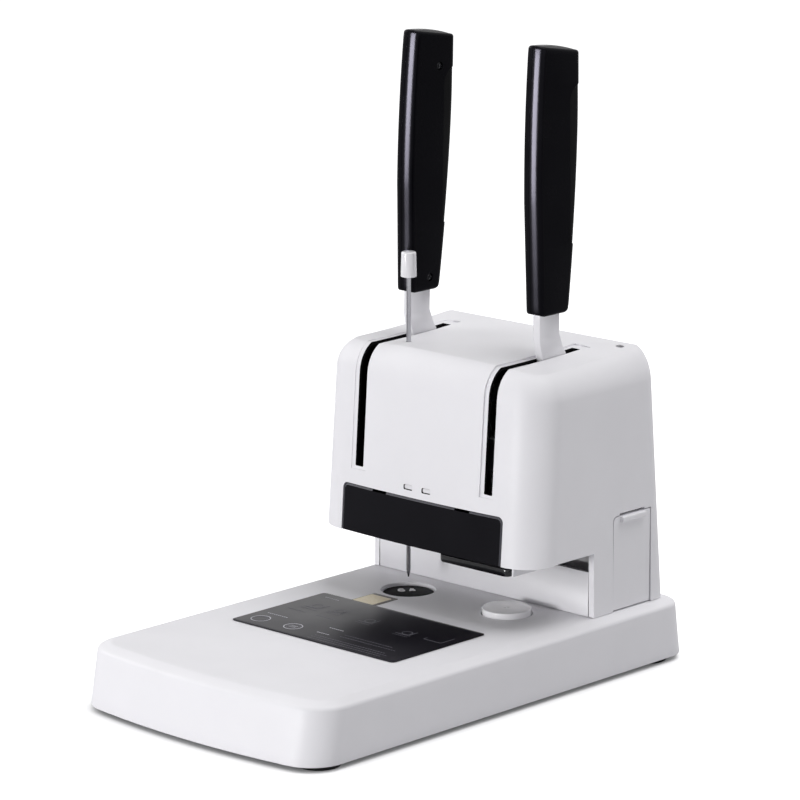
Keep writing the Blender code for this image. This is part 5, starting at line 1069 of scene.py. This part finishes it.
panel = {
    "z": 45.1, "ink": 0.05, "sink": 0.02, "line": 0.55,
    # x, y and radius or size
    "rings": ((-61.1, -58.7, 6.6), (-31.6, -57.6, 6.4)),
    "drawings": ((-54, -11, 7.5), (-34, -10, 6.5), (-3, -13, 6.5), (35, -17, 6.5)),
    # left, right and y of dashed lines
    "headings": ((-67.5, -48.5, -45.3), (-11.5, 2.2, -43.0), (-10.7, 1.6, -56.0), (-66.0, -52.0, 9.0)),
    "rules": ((-7, 58, -62), (-7, 63, -65.5), (-7, 60, -69), (8, 52, -49), (8, 60, -53.5),
              (-64, -46, -69.5), (-66, -50, -27), (-40, -22, -27)),
    "barSteps": (-1.6, 0, 1.6),         # of the three bars in the second ring
    "bracket": (52, 68, -20, -6, 4),    # left, right, low, high, short leg
}


def addRing(shape, x, y, radius, width, low, high, steps=40):
    turned(rectangle(radius - width / 2, low, radius + width / 2, high), "z", (x, y), steps, shape)


def addDashes(shape, left, right, y, tall, low, high, dash, gap):
    x = left
    while x + dash <= right + 0.01:
        box((x, y - tall / 2, low), (x + dash, y + tall / 2, high), shape)
        x += dash + gap


def makePrint():
    # line drawings and ruled lines, with no words; their parts are shares of line and size
    look = panel
    low, high, line = look["z"] - look["sink"], look["z"] + look["ink"], look["line"]
    bright, faint = bmesh.new(), bmesh.new()
    for x, y, radius in look["rings"]:
        addRing(bright, x, y, radius, line * 1.2, low, high)
        addRing(faint, x, y, radius * 0.72, line * 0.8, low, high)
    x, y, radius = look["rings"][1]
    half, thin = radius * 0.5, line * 0.3
    for step in look["barSteps"]:
        box((x - half, y + step - thin, low), (x + half, y + step + thin, high), bright)
    for left, right, y in look["headings"]:
        addDashes(bright, left, right, y, line * 1.8, low, high, 1.1, 0.8)
    for x, y, size in look["drawings"]:
        addRing(faint, x, y, size * 0.55, line * 0.9, low, high, 28)
        foot, post = y - size * 0.72, x + size * 0.7
        box((x - size, foot, low), (x + size, foot + line, high), faint)
        box((post, y - size * 0.5, low), (post + line, y + size * 0.8, high), faint)
        addDashes(faint, x - size, x + size, y - size * 1.15, line * 1.2, low, high, 0.9, 0.8)
    for left, right, y in look["rules"]:
        addDashes(faint, left, right, y, line * 1.1, low, high, 1.7, 0.6)
    left, right, near, back, leg = look["bracket"]
    box((left, near, low), (right, near + line, high), faint)
    box((right - line, near, low), (right, back, high), faint)
    box((left, near, low), (left + line, near + leg, high), faint)
    makePiece("panelPrintPale", bright, "paleInk", "machine", "film")
    makePiece("panelPrintFaint", faint, "faintInk", "machine", "film")


seal = {
    "left": -50.2, "right": -27.4, "near": 17.6, "far": 41.2, "corner": 1.2,
    "lip": 0.6, "border": 3.2,    # border at the left and front, at the right and rear
    "thickness": 0.12, "emboss": 0.04, "sink": 0.02,
}


def makeSeal():
    # foil seal on the deck between the panel and the pad; no words on it
    look = seal
    low, high = deckZ - look["sink"], deckZ + look["thickness"]
    for name, finish, lip, border, up in (
        ("sealBorder", "foilBorder", 0, 0, 0),
        ("sealFace", "embossedFoil", look["lip"], look["border"], look["emboss"]),
    ):
        outline = roundedBox(look["left"] + lip, look["near"] + lip,
                             look["right"] - border, look["far"] - border, look["corner"], 4)
        makePiece(name, prism(outline, "z", low, high + up), finish, "machine", "brass")


makePrint()
makeSeal()
print("cap, knob, pad, print and seal made")

screws = {
    # axis, seat and top (along Y from the rear face), radius, finish, slot, places
    "plateScrew": ("z", 4.3, 2.4, 3.2, "blackOxideSteel", "dark_steel",
                   ((-96, -60), (96, -60), (-96, 90), (96, 90), (0, -150), (0, 150))),
    "footScrew": ("z", 2.05, 0.75, 3.3, "zincPlate", "zinc",
                  ((-91.5, -160), (91.5, -160), (-91.5, 163), (91.5, 163))),
    "rearScrew": ("y", -1.0, 1.2, 3.2, "blackOxideSteel", "dark_steel", ((-82, 60), (82, 60))),
}


def makeScrews():
    for name, (axis, seat, top, radius, finish, slot, spots) in screws.items():
        for number, spot in enumerate(spots, 1):
            face = rearAt(spot[1]) if axis == "y" else 0
            makeScrew(name + str(number), axis, spot, face + seat, face + top, radius, finish,
                      "machine", slot)


makeScrews()
print("screws made")

dressing = {
    # edge radius in mm and the CAD solids that keep their shape
    "zincPlate": {0.3: ("base_plate", "chassis_frame", "frame_tie_plate", "motor_carrier")},
    "mouldedRubber": {0.5: ("foot_front_left", "foot_front_right", "foot_rear_left", "foot_rear_right"),
                      0.2: ("drive_belt",)},
    "polyesterFilm": {0.08: ("instruction_panel",)},
    "mouldedAbs": {0.3: ("pad_cup", "foot_shroud"), 0.15: ("column_front_panel",)},
    "cuttingPadPe": {0.4: ("cutting_pad",)},
    # the head's floor: painted shade, near black for the shade under the head
    "paintedShadeBlack": {0.3: ("head_floor",)},
    "blackOxideSteel": {0.3: ("anvil_post", "chuck_nut"), 0.5: ("drill_motor",)},
    "groundSteel": {0.4: ("punch_pivot_shaft", "rivet_pivot_shaft"), 0.3: ("press_ram",),
                    0.2: ("drill_quill", "drill_spindle", "punch_sector_gear", "rivet_sector_gear"),
                    0.15: ("clearing_needle",), 0.1: ("hollow_drill_bit",)},
    "turnedAluminium": {0.4: ("heater_block",), 0.3: ("quill_guide", "ram_guide"),
                        0.2: ("spindle_pulley", "motor_pulley")},
    "steatite": {0.3: ("heat_insulator",)},
    "turnedBrass": {0.3: ("rivet_die",)},
    "glossBlackAbs": {0.5: ("presser_foot",)},
    "mattBlackNylon": {0.4: ("power_inlet", "switch_frame", "power_rocker")},
    "circuitBoard": {0.15: ("control_board",)},
    "powderCoat": {0.6: ("punch_lever_bar", "rivet_lever_bar")},
}
paintedEdgeHighlights = {"glossBlackAbs": "paintedHighlightBlackAbs"}    # finish of the painted highlight on the edges


def dressSolid(name, edge, finish):
    solid = nodes[name]
    solid.data.materials.clear()
    for surface in (finish, paintedEdgeHighlights.get(finish)):
        if surface:
            solid.data.materials.append(finishes[surface])
    weld = solid.modifiers.new("weld", "WELD")
    weld.merge_threshold = 0.01 * mm
    # bevelled edges take the painted highlight where the finish has one
    soften(solid, edge, tone=1 if finish in paintedEdgeHighlights else -1)


tasks = [(name, edge, finish) for finish, edges in dressing.items()
         for edge, names in edges.items() for name in names]
for task in tasks:
    dressSolid(*task)
print("solids dressed:", len(tasks))

bpy.context.scene.view_settings.view_transform = "Standard"
